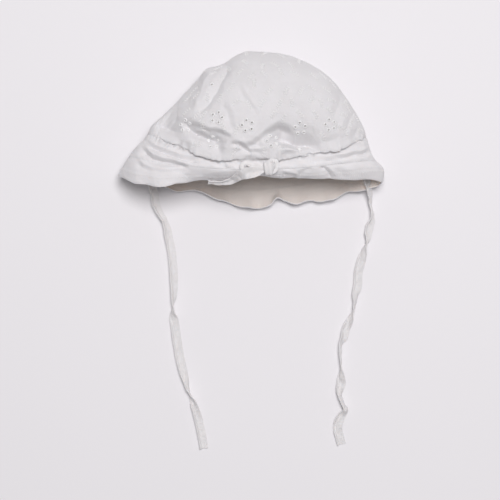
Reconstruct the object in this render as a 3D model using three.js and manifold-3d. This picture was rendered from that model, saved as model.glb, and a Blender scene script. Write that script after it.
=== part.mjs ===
// Baby's sun hat in white cotton, lying on its back.
// An eyelet-embroidered crown is gathered into a drawstring band, and a narrow hemmed brim follows it.
// The drawstring is tied at the front, and a flat chin tie at each side is laid out on the surface.
// Millimetres. +Z is up from the surface, +Y runs from the brim to the top of the crown.
import * as THREE from "three";
import { LoftGeometry } from "three/addons/geometries/LoftGeometry.js";
import { mergeVertices } from "three/addons/utils/BufferGeometryUtils.js";
import Module from "manifold-3d";

const wasm = await Module();
wasm.setup();

// Cloth
const CROWN_WALL = 1.2;
const BAND_WALL = 1.6;
const BRIM_WALL = 1.4;
const SEAM_GAP = 0.8; // between two sewn edges, along the cloth
const HEM_WIDTH = 8; // turned hem along the brim's edge
const HEM_STEP = 0.4; // how far the hem stands proud on each face

// The hat's loops, from the hem to the top of the crown. rise is the length of cloth above the hem.
// Each loop has a left and a right fold at sideZ, a front that arches up and a back that lies flat.
const SECTION_COLUMNS = [
  "rise", "leftX", "leftY", "rightX", "rightY", "sideZ", "frontY", "frontZ", "backY", "backZ",
];
const SECTIONS = [
  [0, -120, -43, 120, -49, 19, -47, 58, -66, 0], // hem
  [10, -115, -34, 120, -36, 23, -44, 65, -59, 0], // middle of the brim
  [18, -110, -26, 113, -29, 26, -40, 69, -54, 0], // brim to band
  [42, -93, -6, 104, -9, 31, -31, 69, -40, 0], // band to crown
  [54, -89, 1, 102, -2, 33, -22, 76, -28, 0], // puffs over the band
  [72, -81, 8, 97, 8, 34, -4, 79, -10, 0], // lower crown
  [96, -64, 25, 87, 24, 34, 20, 75, 14, 0], // middle of the crown
  [118, -49, 43, 73, 43, 33, 40, 66, 36, 0], // upper crown
  [135, -34, 56, 56, 56, 31, 54, 54, 51, 3], // shoulder
  [149, -12, 65, 36, 65, 29, 64, 42, 62, 13], // top
  [163, 10, 69, 10, 69, 28, 69, 28, 69, 28], // middle of the top
];
const HEM = 0;
const BRIM_TOP = 18;
const SEAM = 42;
const APEX = 163;
const PLAN_POWER = 2.2; // how late each loop leaves its sides, seen from above
const BACK_PRESS = 9; // how far below the surface the back would sag, so it is pressed flat there

// Folds of the crown seen from above: a line, its half width, and its height (negative is a dent).
const FOLDS = [
  { name: "left valley", fromX: -21, fromY: 61, toX: -45, toY: 10, half: 8, height: -5 },
  { name: "left ridge", fromX: -36, fromY: 50, toX: -52, toY: 16, half: 8, height: 3 },
  { name: "left dent", fromX: -68, fromY: 10, toX: -20, toY: -14, half: 10, height: -6 },
  { name: "left puff", fromX: -58, fromY: -10, toX: -34, toY: -20, half: 9, height: 2 },
  { name: "middle crease", fromX: -19, fromY: -8, toX: 4, toY: -18, half: 8, height: -4 },
  { name: "upper crease", fromX: -13, fromY: 34, toX: 8, toY: 2, half: 7, height: -2 },
  { name: "right dent, near", fromX: 6, fromY: -11, toX: 27, toY: 2, half: 8, height: -3 },
  { name: "right dent, far", fromX: 27, fromY: 2, toX: 54, toY: -16, half: 10, height: -4 },
  { name: "right puff", fromX: 28, fromY: -22, toX: 36, toY: -24, half: 10, height: 3 },
];

const FOLD_WRAP = 0.6; // how far a fold that meets a side runs on round it

// Waves of the hem: a middle, a half width, how far the edge runs out (or in) and how far it lifts.
// They die out at the top of the brim.
const HEM_WAVES = [
  { side: "front", x: -84, half: 28, out: 7.5, lift: -2 },
  { side: "front", x: -32, half: 20, out: 2, lift: 0 },
  { side: "front", x: 8, half: 20, out: -2.5, lift: 3 },
  { side: "back", x: -58, half: 32, out: -6, lift: 1 },
  { side: "back", x: 6, half: 25, out: 6.5, lift: 0 },
  { side: "back", x: 25, half: 8, out: -5, lift: 3 },
  { side: "back", x: 43, half: 15, out: 4, lift: 0 },
  { side: "back", x: 74, half: 18, out: 5.5, lift: 1 },
  { side: "back", x: 106, half: 16, out: 3, lift: 0 },
];

// Gathers above and below the seam
const GATHERS = 15; // puckers along the front
const GATHER_HEIGHT = 1;
const GATHER_REACH = 10;

// Lengthwise tucks that the drawstring draws into the band
const TUCKS = 3;
const TUCK_HEIGHT = 1.6;

// Eyelet flowers of the embroidery: five holes on a ring. Each row is a flower seen from above.
const EYELETS = 5;
const EYELET_RADIUS = 0.9;
const FLOWER_RADIUS = 4.7;
const EYELET_SIDES = 5;
const DRILL_LENGTH = 9;
const FRONT_FLOWERS = [
  { x: -56.8, y: -1.7 },
  { x: -29.3, y: 5.7 },
  { x: -3.1, y: -1.3 },
  { x: -32.3, y: -16.2 },
  { x: 18.7, y: -14.7 },
  { x: 43.2, y: -3.8 },
  { x: 69.4, y: -0.8 },
  { x: -19, y: 29.9 },
  { x: 3, y: 21.1 },
  { x: 54.8, y: 23.9 },
  { x: 30, y: 40 },
  { x: -9, y: 53 },
  { x: 28, y: 14 },
  { x: 74, y: 16 },
];
const BACK_FLOWERS = [
  { x: -48, y: -20 },
  { x: -16, y: -20 },
  { x: 16, y: -20 },
  { x: 48, y: -20 },
  { x: -30, y: 8 },
  { x: 8, y: 8 },
  { x: 46, y: 8 },
  { x: 12, y: 34 },
];

// Chin ties of flat tape. lift is the clearance above the surface, and roll turns the tape about
// its own length, so that 0 lies flat and 90 stands on edge.
const TIE_WIDTH = 7.5;
const TIE_THICKNESS = 1;
const TIE_LEFT = [
  { x: -94, y: -30, lift: 11.3, roll: -20 },
  { x: -92, y: -41, lift: 6.3, roll: -18 },
  { x: -90, y: -51, lift: 3.9, roll: -14 },
  { x: -88, y: -59, lift: 2.4, roll: 0 },
  { x: -86.5, y: -70, lift: 0.4, roll: 30 },
  { x: -78, y: -86.5, lift: 0.3, roll: 45 },
  { x: -75.8, y: -95, lift: 0.3, roll: 10 },
  { x: -72.5, y: -111, lift: 0.3, roll: 0 },
  { x: -70.8, y: -127.5, lift: 0.3, roll: 10 },
  { x: -70.5, y: -144, lift: 0.3, roll: 38 },
  { x: -71.6, y: -160.5, lift: 0.3, roll: 56 },
  { x: -71.8, y: -169, lift: 0.3, roll: 50 },
  { x: -69.5, y: -177, lift: 0.3, roll: 20 },
  { x: -67, y: -193.5, lift: 0.3, roll: 0 },
  { x: -64, y: -210, lift: 0.3, roll: -10 },
  { x: -59.8, y: -226, lift: 0.3, roll: -40 },
  { x: -56, y: -239.5, lift: 0.3, roll: -65 },
  { x: -52, y: -250.5, lift: 0.3, roll: -28 },
  { x: -47.5, y: -267, lift: 0.3, roll: 0 },
  { x: -44, y: -284, lift: 0.3, roll: 0 },
  { x: -42.7, y: -292, lift: 0.3, roll: 0 },
];
const TIE_RIGHT = [
  { x: 102, y: -31, lift: 13.6, roll: 34 },
  { x: 104, y: -40, lift: 11.2, roll: 26 },
  { x: 106.5, y: -48, lift: 9.6, roll: 20 },
  { x: 107.8, y: -54, lift: 9.0, roll: 16 },
  { x: 109.5, y: -60, lift: 3.6, roll: -25 },
  { x: 110.3, y: -67, lift: 0.4, roll: -45 },
  { x: 112, y: -79, lift: 0.4, roll: -60 },
  { x: 109.5, y: -87, lift: 0.4, roll: -10 },
  { x: 108, y: -95, lift: 0.4, roll: 0 },
  { x: 106, y: -103, lift: 0.4, roll: 30 },
  { x: 103.5, y: -111, lift: 0.4, roll: 48 },
  { x: 101.2, y: -123, lift: 0.4, roll: 15 },
  { x: 99.5, y: -131, lift: 0.4, roll: 0 },
  { x: 98.8, y: -144, lift: 0.4, roll: 0 },
  { x: 97, y: -150.5, lift: 0.4, roll: 40 },
  { x: 96, y: -160.5, lift: 0.4, roll: 58 },
  { x: 92.5, y: -172.5, lift: 0.4, roll: 28 },
  { x: 88, y: -181.5, lift: 0.4, roll: 0 },
  { x: 85.5, y: -190, lift: 0.4, roll: -30 },
  { x: 82, y: -196.5, lift: 0.4, roll: -62 },
  { x: 82, y: -206.5, lift: 0.4, roll: -72 },
  { x: 82.3, y: -216.5, lift: 0.4, roll: -60 },
  { x: 83, y: -226, lift: 0.4, roll: -15 },
  { x: 83.3, y: -234, lift: 0.4, roll: 10 },
  { x: 82.3, y: -242.5, lift: 0.4, roll: 60 },
  { x: 85.5, y: -250.5, lift: 0.4, roll: 64 },
  { x: 87.8, y: -257, lift: 0.4, roll: 55 },
  { x: 83.5, y: -263.5, lift: 0.4, roll: 10 },
  { x: 80, y: -272, lift: 0.4, roll: -28 },
  { x: 82, y: -280, lift: 0.4, roll: 0 },
  { x: 84.2, y: -288.5, lift: 0.4, roll: 0 },
];

// Drawstring, tied over the band at the front. lift is the clearance above the cloth below.
const STRING_WIDTH = 6;
const STRING_THICKNESS = 1;
const KNOT = { x: 16, y: -39, lift: 1.3, halfX: 4.8, halfY: 5, halfZ: 3.2 };
const LOOP_LEFT = [
  { x: 10.9, y: -37.2, lift: 2.4, roll: 60 },
  { x: 4, y: -35.3, lift: 1.9, roll: 75 },
  { x: -2, y: -32.5, lift: 1.9, roll: 80 },
  { x: -6.5, y: -33, lift: 1.9, roll: 85 },
  { x: -7, y: -36.5, lift: 1.9, roll: 85 },
  { x: -2.5, y: -38.5, lift: 2.2, roll: 80 },
  { x: 4, y: -38.8, lift: 2.4, roll: 80 },
];
const LOOP_RIGHT = [
  { x: 20.6, y: -35.2, lift: 2.2, roll: 70 },
  { x: 23.5, y: -31.2, lift: 1.6, roll: 75 },
  { x: 28, y: -32.5, lift: 1.4, roll: 80 },
  { x: 29, y: -37, lift: 1.4, roll: 80 },
  { x: 26, y: -40.3, lift: 2.2, roll: 75 },
  { x: 21.8, y: -41, lift: 2.8, roll: 75 },
];
const TAIL = [
  { x: 12.6, y: -43.4, lift: 4.8, roll: -20 },
  { x: 4, y: -44.5, lift: 4.4, roll: -25 },
  { x: -5, y: -46.5, lift: 3.6, roll: -32 },
  { x: -14, y: -49, lift: 3, roll: -35 },
  { x: -20, y: -53, lift: 2, roll: -35 },
  { x: -27, y: -54.5, lift: 1, roll: -55 },
  { x: -36, y: -54, lift: 1, roll: -75 },
];

// Mesh density
const FRONT_COLUMNS = 42;
const BACK_COLUMNS = 18;
const BRIM_BACK_COLUMNS = 36;
const CROWN_ROWS = 13;
const BAND_ROWS = 2 * TUCKS;
const TAPE_STEPS_PER_POINT = 2;

const loops = new THREE.CubicInterpolant(
  SECTIONS.map((row) => row[0]),
  SECTIONS.flat(),
  SECTION_COLUMNS.length,
);

function loopAt(rise) {
  const values = loops.evaluate(THREE.MathUtils.clamp(rise, HEM, APEX));
  return Object.fromEntries(SECTION_COLUMNS.map((column, i) => [column, values[i]]));
}

// A bell that is 1 in the middle and 0 from one half width outwards.
function bell(distance, half) {
  const share = Math.min(Math.abs(distance) / half, 1);
  return (1 - share * share) ** 2;
}

function distanceToLine(x, y, fold) {
  const runX = fold.toX - fold.fromX;
  const runY = fold.toY - fold.fromY;
  const along = ((x - fold.fromX) * runX + (y - fold.fromY) * runY) / (runX * runX + runY * runY);
  const share = THREE.MathUtils.clamp(along, 0, 1);
  return Math.hypot(x - fold.fromX - share * runX, y - fold.fromY - share * runY);
}

// The smooth hat without its folds.
// turn runs 0 to 1 over the front, right to left, and 1 to 2 under the back.
function smoothPoint(rise, turn) {
  const loop = loopAt(rise);
  const across = Math.cos(Math.PI * turn);
  const arch = Math.abs(Math.sin(Math.PI * turn));
  const x = (loop.leftX + loop.rightX) / 2 + (across * (loop.rightX - loop.leftX)) / 2;
  const sideY = (loop.leftY + loop.rightY) / 2 + (across * (loop.rightY - loop.leftY)) / 2;
  const front = Math.sin(Math.PI * turn) >= 0;
  const nearHem = THREE.MathUtils.clamp(1 - rise / BRIM_TOP, 0, 1);
  let y = sideY + ((front ? loop.frontY : loop.backY) - sideY) * arch ** PLAN_POWER;
  let z = front
    ? loop.sideZ + (loop.frontZ - loop.sideZ) * arch
    : Math.max(loop.backZ, loop.sideZ - (loop.sideZ + BACK_PRESS - loop.backZ) * arch);
  for (const wave of HEM_WAVES) {
    if ((wave.side === "front") !== front) continue;
    const share = bell(x - wave.x, wave.half) * nearHem * Math.min(1, 2 * arch);
    y -= wave.out * share;
    z += wave.lift * share;
  }
  return new THREE.Vector3(x, y, z);
}

function normalOf(point, rise, turn) {
  const step = 0.01;
  const low = Math.max(HEM, rise - step * APEX);
  const high = Math.min(APEX - 0.5, rise + step * APEX);
  const up = point(high, turn).sub(point(low, turn));
  const round = point(rise, turn + step).sub(point(rise, turn - step));
  return round.cross(up).normalize().negate();
}

// The hat's outer face with its folds, gathers and tucks.
function hatPoint(rise, turn) {
  const point = smoothPoint(rise, turn);
  if (rise >= APEX) return point;
  const arch = Math.sin(Math.PI * turn);
  let height = 0;
  if (rise > SEAM) {
    const aboveSeam = THREE.MathUtils.smoothstep(rise, SEAM, SEAM + GATHER_REACH);
    const roundTheSide = THREE.MathUtils.smoothstep(arch, -FOLD_WRAP, 0);
    for (const fold of FOLDS) {
      const near = bell(distanceToLine(point.x, point.y, fold), fold.half);
      height += fold.height * near * aboveSeam * roundTheSide;
    }
  }
  if (arch > 0) {
    const nearSeam = bell(rise - SEAM, GATHER_REACH);
    height += GATHER_HEIGHT * nearSeam * Math.sin(2 * Math.PI * GATHERS * turn) * Math.min(1, 2 * arch);
  }
  if (rise > BRIM_TOP && rise < SEAM) {
    const share = (rise - BRIM_TOP) / (SEAM - BRIM_TOP);
    const fade = arch > 0 ? 1 : THREE.MathUtils.clamp(1 + 2 * arch, 0, 1);
    height += TUCK_HEIGHT * fade * Math.sin(Math.PI * TUCKS * share) ** 2;
  }
  point.addScaledVector(normalOf(smoothPoint, rise, turn), height);
  point.z = Math.max(0, point.z);
  return point;
}

function turns(backColumns) {
  const front = Array.from({ length: FRONT_COLUMNS }, (_, i) => i / FRONT_COLUMNS);
  const back = Array.from({ length: backColumns }, (_, i) => 1 + i / backColumns);
  return [...front, ...back];
}

// One loop of the hat, sunk below the outer face by depth and no lower than the surface.
function ring(rise, depth, backColumns = BACK_COLUMNS) {
  return turns(backColumns).map((turn) => {
    const point = hatPoint(rise, turn).addScaledVector(normalOf(hatPoint, rise, turn), -depth);
    point.z = Math.max(0, point.z);
    return point;
  });
}

// A pole where a dome closes: the same point all round.
function pole(depth) {
  const point = hatPoint(APEX, 0);
  point.y -= depth;
  return turns(BACK_COLUMNS).map(() => point);
}

function evenly(from, to, count) {
  return Array.from({ length: count + 1 }, (_, i) => THREE.MathUtils.lerp(from, to, i / count));
}

// Joins equal corners and drops the triangles that a pole has closed up.
function closedUp(geometry) {
  const bare = new THREE.BufferGeometry();
  bare.setAttribute("position", geometry.getAttribute("position"));
  bare.setIndex(geometry.getIndex());
  const merged = mergeVertices(bare, 1e-4);
  const index = merged.getIndex().array;
  const kept = [];
  for (let i = 0; i < index.length; i += 3) {
    const [a, b, c] = index.slice(i, i + 3);
    if (a !== b && b !== c && c !== a) kept.push(a, b, c);
  }
  merged.setIndex(kept);
  return merged;
}

function toManifold(geometry) {
  return new wasm.Manifold(
    new wasm.Mesh({
      numProp: 3,
      vertProperties: new Float32Array(geometry.getAttribute("position").array),
      triVerts: new Uint32Array(geometry.getIndex().array),
    }),
  );
}

function fromManifold(manifold) {
  const mesh = manifold.getMesh();
  const geometry = new THREE.BufferGeometry();
  geometry.setAttribute("position", new THREE.BufferAttribute(new Float32Array(mesh.vertProperties), 3));
  geometry.setIndex(new THREE.BufferAttribute(new Uint32Array(mesh.triVerts), 1));
  return geometry;
}

// The dome of the crown: down the outside from the top, round the rim and up the inside.
function crownDome() {
  const rises = evenly(SEAM + SEAM_GAP / 2, APEX, CROWN_ROWS);
  const open = rises.slice(0, -1);
  const outside = open.toReversed().map((rise) => ring(rise, 0));
  const inside = open.map((rise) => ring(rise, CROWN_WALL));
  return closedUp(new LoftGeometry([pole(0), ...outside, ...inside, pole(CROWN_WALL)]));
}

// A band of cloth: rows of rise, outer and inner depth, from its lower edge to its upper edge.
function clothRing(rows, backColumns) {
  const outside = rows.toReversed().map((row) => ring(row.rise, row.outer, backColumns));
  const inside = rows.map((row) => ring(row.rise, row.inner, backColumns));
  return closedUp(new LoftGeometry([...outside, ...inside, outside[0]]));
}

// Where the hat's face lies under a place seen from above: halve the search step until it is found.
function locate(x, y, firstTurn, lowest) {
  let best = { rise: (lowest + APEX) / 2, turn: firstTurn + 0.5 };
  const miss = (rise, turn) => {
    const point = smoothPoint(rise, turn);
    return Math.hypot(point.x - x, point.y - y);
  };
  for (let step = 0.25; step > 1e-4; step /= 2) {
    for (let pass = 0; pass < 4; pass += 1) {
      const tries = [-1, 0, 1].flatMap((i) => [-1, 0, 1].map((j) => ({
        rise: THREE.MathUtils.clamp(best.rise + i * step * (APEX - lowest), lowest, APEX - 1),
        turn: THREE.MathUtils.clamp(best.turn + j * step, firstTurn, firstTurn + 1),
      })));
      best = tries.reduce((a, b) => (miss(a.rise, a.turn) <= miss(b.rise, b.turn) ? a : b));
    }
  }
  return best;
}

// Five drills through the wall for one eyelet flower.
function flowerDrills(flower, firstTurn) {
  const { rise, turn } = locate(flower.x, flower.y, firstTurn, SEAM);
  const middle = hatPoint(rise, turn);
  const normal = normalOf(hatPoint, rise, turn);
  const toNormal = new THREE.Quaternion().setFromUnitVectors(new THREE.Vector3(0, 1, 0), normal);
  return Array.from({ length: EYELETS }, (_, i) => {
    const angle = (2 * Math.PI * i) / EYELETS;
    const drill = new THREE.CylinderGeometry(EYELET_RADIUS, EYELET_RADIUS, DRILL_LENGTH, EYELET_SIDES);
    drill.translate(FLOWER_RADIUS * Math.cos(angle), 0, FLOWER_RADIUS * Math.sin(angle));
    drill.applyQuaternion(toNormal);
    drill.translate(middle.x, middle.y, middle.z);
    return toManifold(closedUp(drill));
  });
}

function crown() {
  const drills = [
    ...FRONT_FLOWERS.flatMap((flower) => flowerDrills(flower, 0)),
    ...BACK_FLOWERS.flatMap((flower) => flowerDrills(flower, 1)),
  ];
  return fromManifold(toManifold(crownDome()).subtract(wasm.Manifold.union(drills)));
}

function band() {
  const rises = evenly(BRIM_TOP + SEAM_GAP / 2, SEAM - SEAM_GAP / 2, BAND_ROWS);
  return clothRing(rises.map((rise) => ({ rise, outer: 0, inner: BAND_WALL })), BACK_COLUMNS);
}

function brim() {
  const top = BRIM_TOP - SEAM_GAP / 2;
  const rows = [
    { rise: HEM, outer: -HEM_STEP, inner: BRIM_WALL + HEM_STEP },
    { rise: HEM_WIDTH, outer: -HEM_STEP, inner: BRIM_WALL + HEM_STEP },
    { rise: HEM_WIDTH + 1, outer: 0, inner: BRIM_WALL },
    { rise: (HEM_WIDTH + top) / 2, outer: 0, inner: BRIM_WALL },
    { rise: top, outer: 0, inner: BRIM_WALL },
  ];
  return clothRing(rows, BRIM_BACK_COLUMNS);
}

// The height of the front's cloth at a place seen from above, or of its edge for a place beyond it.
function clothHeight(x, y) {
  const { rise, turn } = locate(x, y, 0, HEM);
  return hatPoint(rise, turn).z;
}

// Flat tape along a route of points over a ground, rolled about its own length.
function tape(route, width, thickness, ground) {
  const steps = (route.length - 1) * TAPE_STEPS_PER_POINT;
  const points = route.map(({ x, y, lift, roll }) => {
    const angle = THREE.MathUtils.degToRad(roll);
    const standing = (Math.abs(Math.sin(angle)) * width + Math.cos(angle) * thickness) / 2;
    return new THREE.Vector3(x, y, ground(x, y) + lift + standing);
  });
  const line = new THREE.CatmullRomCurve3(points, false, "centripetal");
  const sections = evenly(0, 1, steps).map((share) => {
    const along = share * (route.length - 1);
    const first = Math.min(Math.floor(along), route.length - 2);
    const roll = THREE.MathUtils.lerp(route[first].roll, route[first + 1].roll, along - first);
    const heading = line.getTangent(share);
    const flat = new THREE.Vector3(0, 0, 1).cross(heading).normalize();
    const across = flat.applyAxisAngle(heading, THREE.MathUtils.degToRad(roll));
    const proud = heading.clone().cross(across);
    const middle = line.getPoint(share);
    return [[1, 1], [-1, 1], [-1, -1], [1, -1]].map(([a, b]) => middle.clone()
      .addScaledVector(across, (a * width) / 2)
      .addScaledVector(proud, (b * thickness) / 2));
  });
  return closedUp(new LoftGeometry(sections, { capStart: true, capEnd: true }));
}

function knot() {
  const ball = new THREE.SphereGeometry(1, 12, 8);
  ball.scale(KNOT.halfX, KNOT.halfY, KNOT.halfZ);
  ball.translate(KNOT.x, KNOT.y, clothHeight(KNOT.x, KNOT.y) + KNOT.lift + KNOT.halfZ);
  return closedUp(ball);
}

function piece(name, geometry, color) {
  geometry.computeVertexNormals();
  const material = new THREE.MeshStandardMaterial({ color, roughness: 0.9 });
  material.name = name;
  const mesh = new THREE.Mesh(geometry, material);
  mesh.name = name;
  return mesh;
}

const COTTON = 0xe6e6e8;
const hat = new THREE.Group();
hat.name = "sun_hat";
hat.add(
  piece("crown", crown(), COTTON),
  piece("band", band(), COTTON),
  piece("brim", brim(), COTTON),
  piece("drawstring_knot", knot(), COTTON),
  piece("drawstring_loop_left", tape(LOOP_LEFT, STRING_WIDTH, STRING_THICKNESS, clothHeight), COTTON),
  piece("drawstring_loop_right", tape(LOOP_RIGHT, STRING_WIDTH, STRING_THICKNESS, clothHeight), COTTON),
  piece("drawstring_tail", tape(TAIL, STRING_WIDTH, STRING_THICKNESS, clothHeight), COTTON),
  piece("tie_left", tape(TIE_LEFT, TIE_WIDTH, TIE_THICKNESS, () => 0), COTTON),
  piece("tie_right", tape(TIE_RIGHT, TIE_WIDTH, TIE_THICKNESS, () => 0), COTTON),
);

export default hat;
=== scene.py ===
"""Baby's cotton sun hat, lying on its back.

An eyelet-embroidered crown is gathered into a drawstring band with a narrow hemmed brim. The drawstring is
tied in a bow at the front, and a flat chin tie at each side is laid out on the surface.
Metres. +Z is up from the surface, +Y runs from the brim to the top of the crown.
"""
import math
from collections import namedtuple

import bmesh
import bpy
import numpy as np
from bpy.props import FloatProperty, FloatVectorProperty, PointerProperty
from mathutils import Matrix, Vector


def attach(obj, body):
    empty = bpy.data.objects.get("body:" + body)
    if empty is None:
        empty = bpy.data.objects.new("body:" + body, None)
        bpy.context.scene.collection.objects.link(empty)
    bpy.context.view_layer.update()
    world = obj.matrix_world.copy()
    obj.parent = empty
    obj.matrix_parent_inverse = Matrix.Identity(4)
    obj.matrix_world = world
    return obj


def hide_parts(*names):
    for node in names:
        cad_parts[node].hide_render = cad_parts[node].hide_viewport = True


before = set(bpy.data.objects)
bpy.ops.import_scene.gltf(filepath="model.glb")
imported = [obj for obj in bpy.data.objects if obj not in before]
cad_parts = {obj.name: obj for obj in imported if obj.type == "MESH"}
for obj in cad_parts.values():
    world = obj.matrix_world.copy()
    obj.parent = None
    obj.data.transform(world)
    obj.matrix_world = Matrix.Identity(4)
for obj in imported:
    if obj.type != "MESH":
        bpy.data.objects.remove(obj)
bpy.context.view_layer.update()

bl_info = {
    "name": "Cotton Sun Hat",
    "version": (1, 0, 0),
    "blender": (4, 5, 0),
    "location": "View3D > Sidebar > Sun Hat",
    "description": "Sews an eyelet sun hat with a drawstring band, a wavy brim and chin ties",
    "category": "Add Mesh",
}

# Seeds of the random draws, one for each kind of unevenness
PUCKER_SEED = 11
BROAD_WRINKLE_SEED = 12
FINE_WRINKLE_SEED = 13
PUFF_SEED = 18
WANDER_SEEDS = (19, 21)
BACK_HEM_SEED = 23
LAP_SEED = 25
FLOWER_SEED = 31
SPRIG_SEED = 32
STEM_SEED = 33
TAPE_SEED = 41
KNOT_SEED = 51

# The photo: a camera straight above the hat, and the size of a pixel on the surface
PHOTO_EYE = Vector((-0.00046, -0.1099, 1.4))
PHOTO_PIXEL = 0.00092
PHOTO_SIDE = 500
SENSOR = 36.0

# The hat's loops, from the hem to the top of the crown. rise is the length of cloth above the hem.
# Each loop has a left and a right fold at side_z, a front that arches up and a back that lies flat.
LOOP_COLUMNS = (
    "rise", "left_x", "left_y", "right_x", "right_y", "side_z", "front_y", "front_z", "back_y", "back_z",
)
LOOPS = (
    (0.000, -0.120, -0.043, 0.120, -0.049, 0.019, -0.047, 0.058, -0.066, 0.000),  # hem
    (0.010, -0.115, -0.034, 0.120, -0.036, 0.023, -0.044, 0.065, -0.059, 0.000),  # middle of the brim
    (0.018, -0.110, -0.026, 0.113, -0.029, 0.026, -0.040, 0.069, -0.054, 0.000),  # brim to band
    (0.042, -0.093, -0.006, 0.104, -0.009, 0.031, -0.031, 0.069, -0.040, 0.000),  # band to crown
    (0.054, -0.089, 0.001, 0.102, -0.002, 0.033, -0.022, 0.076, -0.028, 0.000),  # puffs over the band
    (0.072, -0.081, 0.008, 0.097, 0.008, 0.034, -0.004, 0.079, -0.010, 0.000),  # lower crown
    (0.096, -0.064, 0.025, 0.087, 0.024, 0.034, 0.020, 0.075, 0.014, 0.000),  # middle of the crown
    (0.118, -0.049, 0.043, 0.073, 0.043, 0.033, 0.040, 0.066, 0.036, 0.000),  # upper crown
    (0.135, -0.034, 0.056, 0.056, 0.056, 0.031, 0.054, 0.054, 0.051, 0.003),  # shoulder
    (0.149, -0.012, 0.065, 0.036, 0.065, 0.029, 0.064, 0.042, 0.062, 0.013),  # top
    (0.163, 0.010, 0.069, 0.010, 0.069, 0.028, 0.069, 0.028, 0.069, 0.028),  # middle of the top
)
HEM = 0.0
BRIM_TOP = 0.018
SEAM = 0.042
APEX = 0.163
PLAN_POWER = 2.2  # how late each loop leaves its sides, seen from above
BACK_PRESS = 0.009  # how far below the surface the back would sag, so it is pressed flat there
FLOOR_LIFT = 0.0002  # clearance of the cloth that lies on the surface
PRESSED = 0.00005  # clearance of the thread and the tape that are pressed flat on the surface
SLOPE_STEP = 0.004  # how far to each side the cloth's slope is taken, as a share of its rise and of a turn
APEX_CLEAR = 0.0005  # and how far it stays below the top
TINY = 1e-12  # least length that is divided by

# Where an effect sets in round the hat, from none to all. The arch is 0 at the sides, 1 along the middle of
# the front and below 0 under the back.
ARCH_CROWN_FOLDS = (0.10, 0.45)
ARCH_SIDE_FOLDS = (-0.3, 0.0)
ARCH_BAND_FOLDS = (0.04, 0.34)
ARCH_GATHERS = (0.15, 0.5)
ARCH_SAG = (0.1, 0.4)
ARCH_CURL = (0.3, 0.6)
ARCH_FRONT = (-0.2, 0.1)
UNDER_BACK_HEM = (0.25, 0.5)  # the same under the back, counted downwards
# Where an effect sets in or fades out along the rise
CROWN_FOLDS_FROM = (SEAM + 0.001, SEAM + 0.011)
SIDE_FOLDS_FROM = (SEAM, SEAM + 0.006)
BAND_FOLDS_FROM = (0.009, 0.014)  # the band's folds run on over the upper brim
BAND_FROM = (BRIM_TOP - 0.002, BRIM_TOP + 0.002)
BAND_UNTIL = (SEAM - 0.003, SEAM + 0.001)
BRIM_UNTIL = (BRIM_TOP - 0.002, BRIM_TOP)
TOP_UNTIL = (APEX - 0.012, APEX)

# Waves of the hem: a middle, a half width, how far the edge runs out (or in) and how far it lifts
Wave = namedtuple("Wave", "side x half out lift")
HEM_WAVES = (
    Wave("front", -0.107, 0.017, 0.0049, 0.006),
    Wave("front", -0.081, 0.031, 0.0088, 0.010),
    Wave("front", -0.054, 0.014, 0.0030, 0.000),
    Wave("front", -0.032, 0.020, 0.0020, 0.000),
    Wave("front", 0.008, 0.020, -0.0025, 0.003),
    Wave("front", 0.110, 0.018, -0.0018, 0.000),
    Wave("back", -0.094, 0.033, -0.0060, 0.000),
    Wave("back", -0.050, 0.022, -0.0060, 0.001),
    Wave("back", -0.0135, 0.013, 0.0030, 0.000),
    Wave("back", 0.006, 0.025, 0.0065, 0.000),
    Wave("back", 0.0245, 0.0055, -0.0035, 0.003),
    Wave("back", 0.043, 0.015, 0.0050, 0.000),
    Wave("back", 0.060, 0.012, 0.0040, 0.000),
    Wave("back", 0.074, 0.018, 0.0060, 0.001),
    Wave("back", 0.094, 0.012, 0.0016, 0.000),
    Wave("back", 0.106, 0.016, 0.0033, 0.000),
    Wave("back", 0.118, 0.010, 0.0030, 0.000),
)
# Waves of the crown's upper outline: a middle, a half width and how far the cloth dips (or swells)
Crest = namedtuple("Crest", "x half dip")
CREST_WAVES = (Crest(-0.026, 0.014, 0.0032), Crest(-0.003, 0.013, -0.0019))
CREST_SPAN = (0.034, 0.058)  # the y where these waves begin and where they are full
# Folds of the front, each a line through pixels of the photo from left to right.
# depth is how far the cloth sinks along the line, and crest how far it swells on the line's upper side.
# above and below are the half widths of its two flanks, in pixels.
FOLD_POWER = 1.3
FOLD_FADE = 1.0  # how far a fold fades in at each end, in widths of the fold
FADE_SHARES = (0.16, 0.48)  # and the least and the most of its length
FOLD_END = 0.02  # how far it runs on past each end, as a share of its length
SWELL_AT = 1.7  # where its crest swells, in widths of its upper flank
SWELL_WIDTH = 0.8
Fold = namedtuple("Fold", "name line depth crest above below")
SIDE_FOLDS = (
    Fold("left valley", ((197, 115), (208, 102), (217, 89), (222, 77), (228, 60)), 0.0034, 0.0008, 3.4, 4),
    Fold("left lobe", ((192, 112), (199, 99), (206, 84), (213, 66)), -0.0026, 0.0, 6, 6),
    Fold("left flank", ((184, 108), (191, 95), (198, 79), (203, 67)), 0.0017, 0.0, 7, 6),
)
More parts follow.
